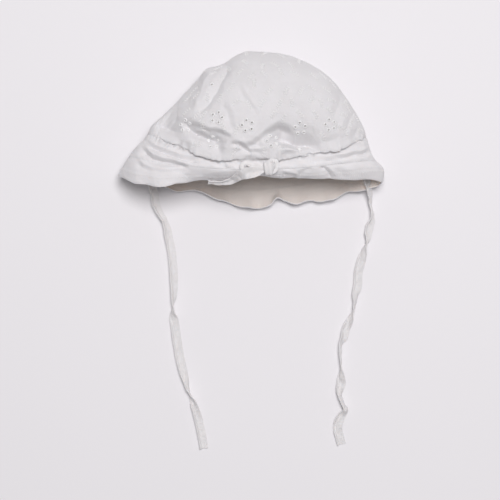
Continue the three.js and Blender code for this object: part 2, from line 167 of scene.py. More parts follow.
CROWN_FOLDS = (
    Fold("left hollow", ((147, 120), (161, 127), (175, 130.5), (192, 131)), 0.0125, 0.0, 20, 7),
    Fold("left dent", ((182, 121), (191, 129), (200, 135.5), (209, 138.5), (218, 140), (227, 144)),
         0.0110, 0.0018, 6.5, 5),
    Fold("left dent pinch", ((188, 124), (196, 126), (203, 128), (209, 131)), 0.0016, 0.0008, 2.4, 2.4),
    Fold("left dent lump", ((195, 128), (203, 131), (211, 135)), -0.0016, 0.0, 2.4, 2.4),
    Fold("left dent branch", ((205, 130), (214, 131.5), (224, 135), (232, 138)), 0.0020, 0.0010, 2.4, 2.4),
    Fold("lower left crease", ((212, 135), (217, 143), (223, 153)), 0.0030, 0.0012, 3, 3.5),
    Fold("centre crease", ((230, 143), (239, 146), (245, 149), (252, 152.5)), 0.0030, 0.0012, 2.6, 2.6),
    Fold("centre cross crease", ((236, 146), (248, 147), (256, 144), (262, 139)), 0.0030, 0.0012, 2.8, 2.8),
    Fold("low centre crease", ((232, 152), (246, 150), (264, 153)), 0.0022, 0.0010, 2.4, 2.4),
    Fold("small centre crease", ((247, 145), (254, 147), (263, 144)), 0.0018, 0.0008, 2.2, 2.2),
    Fold("upper crease", ((223, 101), (227, 110), (230, 120), (233, 132)), 0.0017, 0.0006, 3.2, 3.2),
    Fold("faint crease", ((236, 85), (243, 96), (250, 105), (258, 115)), 0.0014, 0.0005, 3, 3),
    Fold("right dent edge", ((255, 144), (262, 138.5), (268, 133), (273, 129)), 0.0026, 0.0012, 3, 5),
    Fold("right dent", ((268, 137), (283, 141), (297, 144.5), (311, 147.5), (322, 147.5)),
         0.0155, 0.0, 13, 3.4),
    Fold("right dent roof", ((262, 140), (268, 135), (273, 131.5), (278, 129), (285, 132), (297, 136)),
         0.0070, 0.0008, 4.2, 12),
    Fold("right puff", ((274, 151), (285, 149.5), (302, 151.5)), -0.0036, 0.0, 3.6, 4),
    Fold("right shade", ((318, 141), (328, 141), (339, 138)), 0.0020, 0.0, 6, 4),
    Fold("right gather", ((314, 149.5), (328, 148.5), (342, 146), (354, 142), (363, 137)),
         0.0006, 0.0004, 2.4, 2.4),
    Fold("right wrinkle near", ((333, 120), (338, 106), (342, 93)), 0.0016, 0.0006, 4, 4),
    Fold("right wrinkle middle", ((345, 134), (350, 120), (354, 108)), 0.0016, 0.0006, 3.5, 3.5),
    Fold("right wrinkle far", ((353, 139), (357, 127), (360, 116)), 0.0016, 0.0006, 3.5, 3.5),
    Fold("left gather", ((149, 131), (160, 134), (171, 140)), 0.0016, 0.0009, 2.5, 2.5),
    Fold("left edge gather", ((155, 129), (161, 120), (168, 110)), 0.0013, 0.0006, 2.6, 2.6),
    Fold("left outer fine gather", ((150, 128), (157, 118), (163, 109)), 0.0012, 0.0006, 1.8, 1.8),
    Fold("left middle fine gather", ((159, 131), (166, 121), (172, 111)), 0.0012, 0.0006, 1.8, 1.8),
    Fold("left inner fine gather", ((167, 134), (173, 125), (178, 117)), 0.0011, 0.0005, 1.8, 1.8),
    Fold("left inner gather", ((163, 133), (170, 123), (175, 115)), 0.0011, 0.0005, 2.6, 2.6),
    Fold("left puff crease", ((175, 140), (186, 144), (198, 150)), 0.0006, 0.0006, 2.6, 2.6),
)
BAND_FOLDS = (
    Fold("left upper pleat", ((146, 144), (157, 150), (167, 154.5), (177, 157.5), (187, 160), (200, 164)),
         0.0028, 0.0012, 2.6, 3),
    Fold("left lower pleat",
         ((141, 145), (145, 153), (151, 159), (158, 161.5), (168, 163), (178, 166), (190, 168.5)),
         0.0044, 0.0020, 3, 4),
    Fold("left seam pleat", ((133, 162), (141, 168), (150, 172), (161, 174), (173, 173.5), (186, 172)),
         0.0024, 0.0010, 3, 3),
    Fold("little pocket", ((221, 164), (227, 169), (234, 166)), 0.0018, 0.0008, 2.4, 2.4),
    Fold("centre upper pleat", ((243, 157), (254, 160), (264, 161)), 0.0018, 0.0008, 2.4, 2.4),
    Fold("right upper pleat", ((310, 161), (330, 160), (350, 157), (371, 151)), 0.0012, 0.0008, 2.6, 2.6),
    Fold("right outer pleat", ((338, 158), (352, 157), (362, 154.5), (373, 150)), 0.0018, 0.0010, 2.4, 2.4),
    Fold("right lower pleat", ((325, 165), (345, 164), (360, 162), (376, 158)), 0.0010, 0.0006, 2.6, 3),
)
BRIM_FOLDS = (
    Fold("near the knot", ((281, 175), (287, 175.5), (294, 177.5), (299, 180)), 0.0016, 0.0010, 2.8, 2.8),
    Fold("right wrinkle one", ((297, 179), (304, 171), (313, 166)), 0.0010, 0.0006, 3, 3),
    Fold("right wrinkle two", ((319, 165), (325, 170), (330, 176), (334, 180)), 0.0030, 0.0012, 3, 3),
    Fold("right wrinkle three", ((333, 168), (340, 173), (348, 179)), 0.0010, 0.0005, 4, 4),
)
# Folds wander a little off their lines, by so many pixels, in waves of this size
CROWN_WANDER = 2.4
BAND_WANDER = 1.6
WANDER_SIZE = 0.020
WANDER_WAVES = 10

# Where the front brim turns under between its left wave and the bow
CURL_LINE = ((176, 186), (190, 180), (203, 175), (216, 172), (240, 170), (258, 173))
CURL_MIDDLE = 216
CURL_HALF = 42
CURL_SLOPE = 0.6

# Gathers along the seam. A pair of values is the least and the most that a gather draws by chance.
PUCKERS = 110
PUCKER_HALF = 0.0020
PUCKER_REACH = 0.012
PUCKER_PLACES = (0.1, 0.9)
PUCKER_WIDTHS = (0.7, 1.4)
PUCKER_HEIGHTS = (0.3, 1.3)
PUCKER_REACHES = (0.4, 1.7)
PUCKER_LEANS = (-1.2, 1.2)
PUCKER_BELOW = 0.7  # reach below the seam, as a share of that above
PUCKER_SPREAD = 0.8  # how much wider it gets towards its end
PUFFS = 44
PUFF_HEIGHT = 0.0018
PUFF_SAG = 0.0016
PUFF_HALVES = (0.022, 0.075)
PUFF_RISES = (0.003, 0.006)
PUFF_SHARES = (0.4, 1.0)
PUFF_MOST = 1.3
# Dips along the seams and along the inner edge of the hem
SEAM_DIP = 0.0002
SEAM_DIP_HALF = 0.0022
LESSER_DIP = 0.6  # of the brim's seam and the hem, as a share of the crown's seam
HEM_DIP_HALF = 0.0012
HEM_EDGE = (-0.0002, 0.0006)  # where the hem's step falls, from its inner edge
LOOP_RUN = 0.23  # length of the seam over the front
# Where the crown laps over its seam: a middle and a half width in pixels of the photo, and how far it laps
Lap = namedtuple("Lap", "u half drop")
LAPS = (Lap(210, 36, 0.0043), Lap(342, 40, 0.0028))
LAP_LIP = 0.0016  # rise above the seam where it laps farthest
LAP_REACH = 0.013  # rise above the seam where the cloth is back in place
LAP_STEEP = 0.61  # how far the lip stands proud for each metre that it laps
LAP_UNEVEN = 0.4
LAP_WAVE = 0.016
LAP_WAVES = 10
TUCK_UNDER = 0.0014  # how far a sewn edge runs on under the next piece
TUCK_DEPTH = 0.00025
TUCK_SPAN = 0.0004  # over which a sewn edge sinks under

# Wrinkles of washed cloth all over the hat: a size, a height and how many waves make them up
WRINKLES = 14
BROAD_WRINKLE = 0.018
BROAD_WRINKLE_HEIGHT = 0.0008
FINE_WRINKLE = 0.008
FINE_WRINKLE_HEIGHT = 0.0005  # and as much again on the band
WRINKLE_LENGTHS = (0.6, 1.8)
WRINKLE_SWAY = 1.4
WRINKLE_SWAY_SIZE = 3  # length of the sway, in sizes of the wrinkle

# The back hem stands a little off the surface, in waves
BACK_HEM_LIFT = 0.0090
BACK_HEM_REACH = 0.012
BACK_HEM_WAVE = 0.016
BACK_HEM_WAVES = 6
BACK_HEM_LEVEL = 0.85  # the share of its lift that it has everywhere
BACK_HEM_UNEVEN = 0.5
HEM_ROLL = 0.0006
HEM_ROLL_HALF = 0.0016

# Lengthwise tucks at the back of the band, where the drawstring draws it in
BACK_TUCKS = 3
BACK_TUCK_HEIGHT = 0.0010
BACK_TUCK_FADE = 1.5  # how soon they fade out towards the middle of the back

# Eyelet flowers as pixels of the photo on the front, and as places seen from above on the back
EYELETS = 5
FRONT_FLOWERS = (
    (185.5, 126), (217, 117.5), (247, 125.6), (213.5, 142.7), (272, 141), (300, 128.5), (330, 125),
)
BACK_FLOWERS = (
    (-0.062, -0.014), (-0.036, -0.022), (-0.012, -0.014), (0.014, -0.022), (0.040, -0.014), (0.066, -0.022),
)
LONE_EYELETS = ((299, 149.5), (212, 84.5))
EYELET_ROUND = 8  # corners of the cloth round an eyelet
EYELET_TRIES = 60  # corners that are tried for one eyelet
CROWN_RUN = 0.8  # length round the crown, as a share of the seam's
FLOWER_LEANS = (-0.3, 0.3)
RING_OUT = 0.8  # where a ring of thread lies, in its own half widths from the eyelet's edge
RING_SEGMENTS = 14
RING_SIDES = 6
PAD_SEGMENTS = 8
PAD_RINGS = 4
# Spans of rise and turn, and how many steps, of the nets on which a place on the cloth is looked up
CROWN_NET_RISES = (SEAM + 0.004, APEX - 0.008, 200)
CROWN_NET_TURNS = (0.02, 0.98, 300)
BAND_NET_RISES = (HEM, SEAM + 0.012, 90)
BAND_NET_TURNS = (0.05, 0.95, 260)
BESIDE_STEP = 0.001
HEADING_STEP = 0.002
FINE_TURNS = 2001
# Small embroidered sprigs all over the crown: a bent stem of short stitches with pairs of leaves
SPRIG_GAP = 0.0135
SPRIG_MARGIN = 0.013  # from the seam and from the top
SPRIG_CLEAR = 0.0095  # from the middle of a flower or a lone eyelet
SPRIG_SUNK = 0.0016  # a sprig keeps out of folds deeper than this
SPRIG_JOINTS = 4
SPRIG_STRIDE = 0.0022
SPRIG_BEND = 0.26
SPRIG_WAYS = (0.9, 2.2)  # the least and the most that a sprig leans, from the right round to the left
SPRIG_STRAYS = (-0.3, 0.3)  # how far it strays up or down, as a share of the gap
SPRIG_STRAY_TURNS = (-0.02, 0.02)
STEM_HALVES = (0.00110, 0.00030, 0.00030)
LEAF_HALVES = (0.00120, 0.00055, 0.00042)
LEAF_LEAN = 0.75
LEAF_OFF = 0.0014

# Sewing stitches: the pitch of a row, and half the length, width and height of one stitch
STITCH_PITCH = 0.0030
STITCH_HALVES = (0.00105, 0.00024, 0.00022)
STITCH_INSET = 0.0014

# Chin ties of flat tape. lift is the clearance above the surface, and roll in degrees turns the tape
# about its own length, so that 0 lies flat and 90 stands on edge. broad widens or narrows the tape.
Turn = namedtuple("Turn", "x y lift roll broad", defaults=(1.0,))
TIE_CRUMPLE = 0.0012
TIE_CURL = 0.0030
STRING_CRUMPLE = 0.0011
TAPE_COLUMNS = 10
TAPE_ROWS = 12  # for each turn of its route
TAPE_CUP = 0.0004
TAPE_WRINKLE = 0.006
TAPE_WRINKLES = 12
TAPE_WALL = 0.85  # of the tape's thickness
TIE_LEFT = (
    Turn(-0.0940, -0.0300, 0.0113, -20),
    Turn(-0.0920, -0.0410, 0.0063, -18),
    Turn(-0.0900, -0.0510, 0.0039, -14),
    Turn(-0.0880, -0.0590, 0.0024, 0),
    Turn(-0.0865, -0.0700, 0.0004, -30),
    Turn(-0.0780, -0.0865, 0.0003, -48),
    Turn(-0.0758, -0.0950, 0.0003, -16),
    Turn(-0.0725, -0.1110, 0.0003, -6),
    Turn(-0.0708, -0.1275, 0.0003, -10),
    Turn(-0.0705, -0.1440, 0.0003, -38),
    Turn(-0.0716, -0.1605, 0.0003, -84),
    Turn(-0.0718, -0.1690, 0.0003, -134),
    Turn(-0.0695, -0.1770, 0.0003, -170),
    Turn(-0.0670, -0.1935, 0.0003, -184),
    Turn(-0.0640, -0.2100, 0.0003, -190),
    Turn(-0.0598, -0.2260, 0.0003, -216),
    Turn(-0.0560, -0.2395, 0.0003, -264),
    Turn(-0.0520, -0.2505, 0.0003, -326),
    Turn(-0.0475, -0.2670, 0.0003, -360),
    Turn(-0.0440, -0.2840, 0.0003, -360),
    Turn(-0.0427, -0.2920, 0.0003, -360),
)
TIE_RIGHT = (
    Turn(0.1020, -0.0310, 0.0136, 34),
    Turn(0.1040, -0.0400, 0.0112, 12),
    Turn(0.1065, -0.0480, 0.0096, -18),
    Turn(0.1080, -0.0540, 0.0090, -42),
    Turn(0.1088, -0.0600, 0.0040, -62),
    Turn(0.1093, -0.0670, 0.0004, -66),
    Turn(0.1112, -0.0790, 0.0004, -66),
    Turn(0.1098, -0.0870, 0.0004, -12),
    Turn(0.1080, -0.0950, 0.0004, -20),
    Turn(0.1060, -0.1030, 0.0004, -84),
    Turn(0.1035, -0.1110, 0.0004, -126),
    Turn(0.1012, -0.1230, 0.0004, -168),
    Turn(0.0995, -0.1310, 0.0004, -180),
    Turn(0.0988, -0.1440, 0.0004, -184),
    Turn(0.0970, -0.1505, 0.0004, -222),
    Turn(0.0960, -0.1605, 0.0004, -254),
    Turn(0.0925, -0.1725, 0.0004, -312),
    Turn(0.0880, -0.1815, 0.0004, -360),
    Turn(0.0855, -0.1900, 0.0004, -388),
    Turn(0.0820, -0.1965, 0.0004, -424),
    Turn(0.0820, -0.2065, 0.0004, -436),
    Turn(0.0823, -0.2165, 0.0004, -450),
    Turn(0.0830, -0.2260, 0.0004, -506),
    Turn(0.0833, -0.2340, 0.0004, -534),
    Turn(0.0823, -0.2425, 0.0004, -600),
    Turn(0.0855, -0.2505, 0.0004, -606),
    Turn(0.0878, -0.2570, 0.0004, -600),
    Turn(0.0835, -0.2635, 0.0004, -556),
    Turn(0.0800, -0.2720, 0.0004, -520),
    Turn(0.0820, -0.2800, 0.0004, -540),
    Turn(0.0842, -0.2885, 0.0004, -540),
)

# Drawstring, tied over the band at the front. lift is the clearance above the cloth below.
KNOT_MIDDLE = (0.0158, -0.0382)
KNOT_LIFT = 0.0013
KNOT_HALVES = (0.0058, 0.0070, 0.0040)
KNOT_LEAN = 0.2
KNOT_WRAP = 0.16
KNOT_WRAP_HALF = 0.66
KNOT_WRAP_EDGE = 0.1
KNOT_FOLD = 0.06
KNOT_FOLDS = 2.3
KNOT_FOLD_UNTIL = (0.6, 1.0)
KNOT_WRINKLE = 0.9
KNOT_WRINKLES = 10
KNOT_SEGMENTS = 64
KNOT_RINGS = 40
LOOP_LEFT = (
    Turn(0.0109, -0.0378, 0.0022, 8, 1.0),
    Turn(0.0050, -0.0375, 0.0021, 16, 0.95),
    Turn(0.0010, -0.0364, 0.0019, 30, 0.95),
    Turn(-0.0016, -0.0350, 0.0019, 40, 0.95),
    Turn(-0.0038, -0.0346, 0.0019, 44, 0.95),
    Turn(-0.0056, -0.0354, 0.0019, 42, 0.95),
    Turn(-0.0062, -0.0371, 0.0019, 36, 0.95),
    Turn(-0.0054, -0.0390, 0.0020, 28, 0.9),
    Turn(-0.0026, -0.0406, 0.0020, 12, 0.85),
)
LOOP_RIGHT = (
    Turn(0.0180, -0.0334, 0.0036, -12, 1.0),
    Turn(0.0194, -0.0322, 0.0032, -22, 0.95),
    Turn(0.0208, -0.0325, 0.0028, -28, 0.95),
    Turn(0.0216, -0.0339, 0.0024, -30, 0.95),
    Turn(0.0217, -0.0364, 0.0020, -30, 0.95),
    Turn(0.0211, -0.0388, 0.0018, -28, 0.95),
    Turn(0.0198, -0.0402, 0.0026, -22, 0.95),
    Turn(0.0184, -0.0406, 0.0032, -12, 0.95),
)
TAIL = (
    Turn(0.0112, -0.0400, 0.0044, -10, 0.8),
    Turn(0.0052, -0.0415, 0.0056, -14, 1.45),
    Turn(-0.0005, -0.0424, 0.0060, -16, 1.68),
    Turn(-0.0057, -0.0434, 0.0056, -18, 1.62),
    Turn(-0.0110, -0.0456, 0.0044, -24, 1.35),
    Turn(-0.0163, -0.0483, 0.0022, -34, 1.15),
    Turn(-0.0216, -0.0498, 0.0014, -48, 1.0),
    Turn(-0.0295, -0.0500, 0.0010, -62, 0.95),
    Turn(-0.0374, -0.0494, 0.0010, -64, 0.9),
)

# Mesh density
CRISP_ANGLE = math.radians(60)
FRONT_SHARE = 0.68  # of the columns round the hat
CROWN_COLUMNS = 400
CROWN_ROWS = 116
BAND_ROWS = 30
BRIM_COLUMNS = 640
BRIM_ROWS = 28
MERGE = 1e-6  # corners of cloth closer than this are joined

# Width that each cloth's map spans
CROWN_MAP = 0.5
BAND_MAP = 0.5
BRIM_MAP = 0.55
# The cloth's bump, which is no true weave: pitch and height of a faint waffle, and height of small creases
LAWN_PITCH = 0.002856
LAWN_RELIEF = 0.00012
TAPE_PITCH = 0.003491
TAPE_RELIEF = 0.00015
CROWN_CREASE = 0.0005
PLAIN_CREASE = 0.0004
INSIDE_CREASE = 0.0003
TAPE_CREASE = 0.0004
WAVE_RADIANS = 20  # that a wave texture of scale 1 runs through in a metre

# Studio
FLOOR_HALF = 3.0
WINDOW_PLACE = (0.22, 0.45, 2.4)
WINDOW_AIM = (0, -0.05, 0)
WINDOW_SIZE = 1.10
WINDOW_POWER = 49.8
WINDOW_COLOUR = (1.0, 0.985, 1.0)
SKY_COLOUR = (0.99, 0.98, 1.0, 1)
SKY_STRENGTH = 0.25


class SunHatSizes(bpy.types.PropertyGroup):
    """Sizes that a maker of the hat may change"""

    crown_cloth: FloatProperty(
        name="Crown Cloth", description="Thickness of the crown's embroidered cotton",
        default=0.0007, min=0.0002, max=0.003, unit="LENGTH")
    plain_cloth: FloatProperty(
        name="Plain Cloth", description="Thickness of the band's and the brim's doubled cotton",
        default=0.0011, min=0.0003, max=0.003, unit="LENGTH")
    hem_width: FloatProperty(
        name="Hem Width", description="Width of the turned hem along the brim's edge",
        default=0.008, min=0.003, max=0.015, unit="LENGTH")
    hem_step: FloatProperty(
        name="Hem Step", description="How far the turned hem stands proud",
        default=0.0004, min=0.0, max=0.002, unit="LENGTH")
    pucker_height: FloatProperty(
        name="Pucker Height", description="Height of the gathers along the crown's seam",
        default=0.0022, min=0.0, max=0.004, unit="LENGTH")
    eyelet_radius: FloatProperty(
        name="Eyelet Radius", description="Radius of one pierced eyelet",
        default=0.00070, min=0.0004, max=0.002, unit="LENGTH")
    thread_width: FloatProperty(
        name="Thread Width", description="Width of the stitched ring round an eyelet",
        default=0.00145, min=0.0004, max=0.002, unit="LENGTH")
    flower_radius: FloatProperty(
        name="Flower Radius", description="Radius of the ring of eyelets in one flower",
        default=0.0047, min=0.002, max=0.01, unit="LENGTH")
    tie_width: FloatProperty(
        name="Tie Width", description="Width of the chin ties",
        default=0.0075, min=0.004, max=0.02, unit="LENGTH")
    tie_thickness: FloatProperty(
        name="Tie Thickness", description="Thickness of the chin ties",
        default=0.0010, min=0.0003, max=0.002, unit="LENGTH")
    string_width: FloatProperty(
        name="Drawstring Width", description="Width of the drawstring's tape",
        default=0.006, min=0.003, max=0.012, unit="LENGTH")


class SunHatColours(bpy.types.PropertyGroup):
    """Colours that a user of the hat may change"""

    cotton: FloatVectorProperty(
        name="Cotton", description="White cotton lawn",
        default=(0.752, 0.739, 0.747), min=0.0, max=1.0, subtype="COLOR")
    # Painted shade: a darker copy of the plain cotton, which shades the whole crown against the brighter
    # band and brim
    eyelet_cotton: FloatVectorProperty(
        name="Eyelet Cotton", description="White cotton of the embroidered crown",
        default=(0.712, 0.70, 0.708), min=0.0, max=1.0, subtype="COLOR")
    # Painted light: the inner face is a lighter, warmer copy of the same cotton, which brightens the shaded
    # hollow of the hat
    inside: FloatVectorProperty(
        name="Inside", description="Inner face of the cotton, a little warmer",
        default=(0.83, 0.775, 0.735), min=0.0, max=1.0, subtype="COLOR")
    thread: FloatVectorProperty(
        name="Thread", description="White embroidery and sewing thread",
        default=(0.855, 0.85, 0.85), min=0.0, max=1.0, subtype="COLOR")
    fine_thread: FloatVectorProperty(
        name="Fine Thread", description="Thin thread of the stems and the sewing stitches",
        default=(0.80, 0.79, 0.79), min=0.0, max=1.0, subtype="COLOR")
    tape: FloatVectorProperty(
        name="Tape", description="White cotton tape of the ties and the drawstring",
        default=(0.74, 0.725, 0.725), min=0.0, max=1.0, subtype="COLOR")
    floor: FloatVectorProperty(
        name="Floor", description="Pale studio surface",
        default=(0.815, 0.80, 0.815), min=0.0, max=1.0, subtype="COLOR")


# Shape of the hat

def bell(distance, half):
    """1 in the middle and 0 from one half width outwards."""
    share = np.minimum(np.abs(distance) / half, 1)
    return (1 - share * share) ** 2


def smooth_step(value, low, high):
    """0 up to low, 1 from high on, and a smooth rise between."""
    share = np.clip((value - low) / (high - low), 0, 1)
    return share * share * (3 - 2 * share)


def fade_out(value, low, high):
    """1 up to low, 0 from high on, and a smooth fall between."""
    return 1 - smooth_step(value, low, high)


def arch_of(turn):
    """0 at the hat's sides, 1 along the middle of the front and -1 along that of the back."""
    return np.sin(np.pi * turn)


def smooth_rows(rows, stations, wanted):
    """Rows of numbers at the wanted stations, on a smooth line through the given ones."""
    rows = np.asarray(rows, float)
    stations = np.asarray(stations, float)
    gaps = np.diff(stations)
    slopes = np.diff(rows, axis=0) / gaps[:, None]
    tangents = np.concatenate([slopes[:1], (slopes[:-1] + slopes[1:]) / 2, slopes[-1:]])
    wanted = np.clip(wanted, stations[0], stations[-1])
    first = np.clip(np.searchsorted(stations, wanted, side="right") - 1, 0, len(gaps) - 1)
    gap = gaps[first][:, None]
    t = ((wanted - stations[first])[:, None]) / gap
    start = (1 + 2 * t) * (1 - t) ** 2 * rows[first] + t * (1 - t) ** 2 * gap * tangents[first]
    end = t * t * (3 - 2 * t) * rows[first + 1] - t * t * (1 - t) * gap * tangents[first + 1]
    return start + end


def loops_at(rise):
    """The hat's loop at each rise, as a column of numbers for each name."""
    columns = smooth_rows(LOOPS, [row[0] for row in LOOPS], rise)
    return dict(zip(LOOP_COLUMNS, columns.T))


def smooth_hat(rise, turn):
    """The hat without its folds. turn runs 0 to 1 over the front, right to left, and 1 to 2 under the
    back."""
    loop = loops_at(rise)
    across = np.cos(np.pi * turn)
    front = arch_of(turn) >= 0
    arch = np.abs(arch_of(turn))
    x = (loop["left_x"] + loop["right_x"]) / 2 + across * (loop["right_x"] - loop["left_x"]) / 2
    side_y = (loop["left_y"] + loop["right_y"]) / 2 + across * (loop["right_y"] - loop["left_y"]) / 2
    y = side_y + (np.where(front, loop["front_y"], loop["back_y"]) - side_y) * arch ** PLAN_POWER
    sag = loop["side_z"] - (loop["side_z"] + BACK_PRESS - loop["back_z"]) * arch
    over = loop["side_z"] + (loop["front_z"] - loop["side_z"]) * arch
    z = np.where(front, over, np.maximum(loop["back_z"], sag))
    near_hem = np.clip(1 - rise / BRIM_TOP, 0, 1)
    for wave in HEM_WAVES:
        reach = near_hem * np.minimum(1, 2 * arch)
        share = bell(x - wave.x, wave.half) * reach * (front == (wave.side == "front"))
        y = y - wave.out * share
        z = z + wave.lift * share
    return np.stack([x, y, z], axis=1)


def outward(place, rise, turn):
    """Unit normals of a surface place(rise, turn), pointing out of the hat."""
    low = np.maximum(HEM, rise - SLOPE_STEP * APEX)
    high = np.minimum(APEX - APEX_CLEAR, rise + SLOPE_STEP * APEX)
    up = place(high, turn) - place(low, turn)
    round_it = place(rise, turn + SLOPE_STEP) - place(rise, turn - SLOPE_STEP)
    normal = np.cross(up, round_it)
    return normal / np.maximum(np.linalg.norm(normal, axis=1), TINY)[:, None]


def photo_pixels(points):
    """Where points show in the photo."""
    near = PHOTO_EYE.z / (PHOTO_EYE.z - points[:, 2]) / PHOTO_PIXEL
    u = PHOTO_SIDE / 2 + (points[:, 0] - PHOTO_EYE.x) * near
    v = PHOTO_SIDE / 2 - (points[:, 1] - PHOTO_EYE.y) * near
    return np.stack([u, v], axis=1)


def line_length(line):
    """Length of a line through its corners."""
    return np.linalg.norm(np.diff(np.asarray(line, float), axis=0), axis=1).sum()


def beside_line(pixels, line):
    """How far pixels lie from a line, positive on its upper side, and their share of its length."""
    corners = np.asarray(line, float)
    lengths = np.linalg.norm(np.diff(corners, axis=0), axis=1)
    starts = np.concatenate([[0], np.cumsum(lengths)])
    nearest = np.full(len(pixels), np.inf)
    signed = np.zeros(len(pixels))
    share = np.zeros(len(pixels))
    for i, length in enumerate(lengths):
        run = (corners[i + 1] - corners[i]) / length
        offset = pixels - corners[i]
        along = np.clip(offset @ run, 0, length)
        away = offset - along[:, None] * run
        distance = np.linalg.norm(away, axis=1)
        side = np.sign(run[1] * offset[:, 0] - run[0] * offset[:, 1])
        closer = distance < nearest
        nearest = np.where(closer, distance, nearest)
        signed = np.where(closer, distance * side, signed)
        share = np.where(closer, (starts[i] + along) / starts[-1], share)
    return signed, share


def fold_heights(pixels, folds):
    """How far the folds raise or sink the front's cloth."""
    height = np.zeros(len(pixels))
    for fold in folds:
        distance, share = beside_line(pixels, fold.line)
        flank = distance / np.where(distance > 0, fold.above, fold.below)
        fade = np.clip(FOLD_FADE * (fold.above + fold.below) / line_length(fold.line), *FADE_SHARES)
        ends = smooth_step(share, -FOLD_END, fade) * fade_out(share, 1 - fade, 1 + FOLD_END)
        sink = np.exp(-np.abs(flank) ** FOLD_POWER)
        swell = np.exp(-((flank - SWELL_AT) / SWELL_WIDTH) ** 2) * (distance > 0)
        height += ends * (fold.crest * swell - fold.depth * sink)
    return height


def pucker_heights(rise, turn):
    """Gathers along the seam between the band and the crown, each of its own width and reach."""
    rng = np.random.default_rng(PUCKER_SEED)
    height = np.zeros(len(rise))
    for i in range(PUCKERS):
        middle = 2 * (i + rng.uniform(*PUCKER_PLACES)) / PUCKERS
        half = PUCKER_HALF * rng.uniform(*PUCKER_WIDTHS) / LOOP_RUN
        tall = rng.uniform(*PUCKER_HEIGHTS)
        reach = PUCKER_REACH * rng.uniform(*PUCKER_REACHES)
        lean = rng.uniform(*PUCKER_LEANS)
        away = np.abs((turn - middle - lean * (rise - SEAM) + 1) % 2 - 1)
        above = np.clip((rise - SEAM) / reach, 0, 1)
        below = np.clip((SEAM - rise) / (PUCKER_BELOW * reach), 0, 1)
        fade = (1 - above) ** 2 * (1 - below) ** 2
        height += tall * bell(away, half * (1 + PUCKER_SPREAD * above)) * fade
    return height


def wrinkle_heights(points, size, count, seed):
    """Slight uneven wrinkles of a cloth that has been washed: a sum of bent waves, 1 at most."""
    rng = np.random.default_rng(seed)
    height = np.zeros(len(points))
    for _ in range(count):
        direction = rng.normal(size=3)
        direction /= np.linalg.norm(direction)
        length = size * rng.uniform(*WRINKLE_LENGTHS)
        bend = rng.normal(size=3) / (WRINKLE_SWAY_SIZE * size)
        phase = rng.uniform(0, 2 * np.pi) + WRINKLE_SWAY * np.sin(points @ bend)
        height += np.sin(2 * np.pi * (points @ direction) / length + phase)
    return height / count


def puff_heights(rise, turn):
    """Uneven puffs of the crown that hang over its seam."""
    rng = np.random.default_rng(PUFF_SEED)
    height = np.zeros(len(rise))
    for _ in range(PUFFS):
        middle = rng.uniform(0, 2)
        half = rng.uniform(*PUFF_HALVES)
        over = rng.uniform(*PUFF_RISES)
        away = np.abs((turn - middle + 1) % 2 - 1)
        height += rng.uniform(*PUFF_SHARES) * bell(away, half) * bell(rise - SEAM - over, over)
    return np.minimum(height, PUFF_MOST)


def warped(pixels, points, much):
    """Pixels shifted unevenly, so that no fold runs quite straight."""
    shifts = [wrinkle_heights(points, WANDER_SIZE, WANDER_WAVES, seed) for seed in WANDER_SEEDS]
    return pixels + much * np.stack(shifts, axis=1)


def crown_folds(rise, turn, points):
    """Folds that the photo shows on the crown, which sink straight down."""
    pixels = warped(photo_pixels(points), points, CROWN_WANDER)
    over = smooth_step(arch_of(turn), *ARCH_CROWN_FOLDS)
    return fold_heights(pixels, CROWN_FOLDS) * smooth_step(rise, *CROWN_FOLDS_FROM) * over


def front_folds(rise, turn, points):
    """Folds that the photo shows on the crown's left side, the band and the brim."""
    arch = arch_of(turn)
    over = smooth_step(arch, *ARCH_BAND_FOLDS)
    pixels = photo_pixels(points)
    crown_pixels = warped(pixels, points, CROWN_WANDER)
    band_pixels = warped(pixels, points, BAND_WANDER)
    on_crown = smooth_step(rise, *SIDE_FOLDS_FROM)
    on_band = smooth_step(rise, *BAND_FOLDS_FROM) * fade_out(rise, *BAND_UNTIL)
    on_brim = fade_out(rise, *BRIM_UNTIL)
    height = fold_heights(crown_pixels, SIDE_FOLDS) * on_crown * smooth_step(arch, *ARCH_SIDE_FOLDS)
    height += fold_heights(band_pixels, BAND_FOLDS) * on_band * over
    height += fold_heights(band_pixels, BRIM_FOLDS) * on_brim * over
    return height


def sewn_relief(rise, turn, sizes):
    """Dips along the seams, the turned hem and the tucks at the back of the band."""
    arch = arch_of(turn)
    front = smooth_step(arch, *ARCH_SIDE_FOLDS)
    share = np.clip((rise - BRIM_TOP) / (SEAM - BRIM_TOP), 0, 1)
    beside_middle = np.clip(1 + BACK_TUCK_FADE * arch, 0, 1)
    height = BACK_TUCK_HEIGHT * (1 - front) * beside_middle * np.sin(np.pi * BACK_TUCKS * share) ** 2
    dips = bell(rise - SEAM, SEAM_DIP_HALF)
    dips += LESSER_DIP * bell(rise - BRIM_TOP, SEAM_DIP_HALF)
    dips += LESSER_DIP * bell(rise - sizes.hem_width, HEM_DIP_HALF)
    height -= SEAM_DIP * front * dips
    height += sizes.hem_step * fade_out(rise - sizes.hem_width, *HEM_EDGE)
    height -= HEM_ROLL * bell(rise, HEM_ROLL_HALF)
    return height


def relief(rise, turn, points, sizes):
    """How far the cloth stands proud of the smooth hat: folds, gathers, seams and wrinkles."""
    arch = arch_of(turn)
    on_band = smooth_step(rise, *BAND_FROM) * fade_out(rise, *BAND_UNTIL)
    height = front_folds(rise, turn, points) + sewn_relief(rise, turn, sizes)
    height += sizes.pucker_height * pucker_heights(rise, turn) * smooth_step(np.abs(arch), *ARCH_GATHERS)
    height += PUFF_HEIGHT * puff_heights(rise, turn) * smooth_step(arch, *ARCH_GATHERS)
    height += BROAD_WRINKLE_HEIGHT * wrinkle_heights(points, BROAD_WRINKLE, WRINKLES, BROAD_WRINKLE_SEED)
    fine_height = FINE_WRINKLE_HEIGHT * (1 + on_band)
    height += fine_height * wrinkle_heights(points, FINE_WRINKLE, WRINKLES, FINE_WRINKLE_SEED)
    return height * fade_out(rise, *TOP_UNTIL)


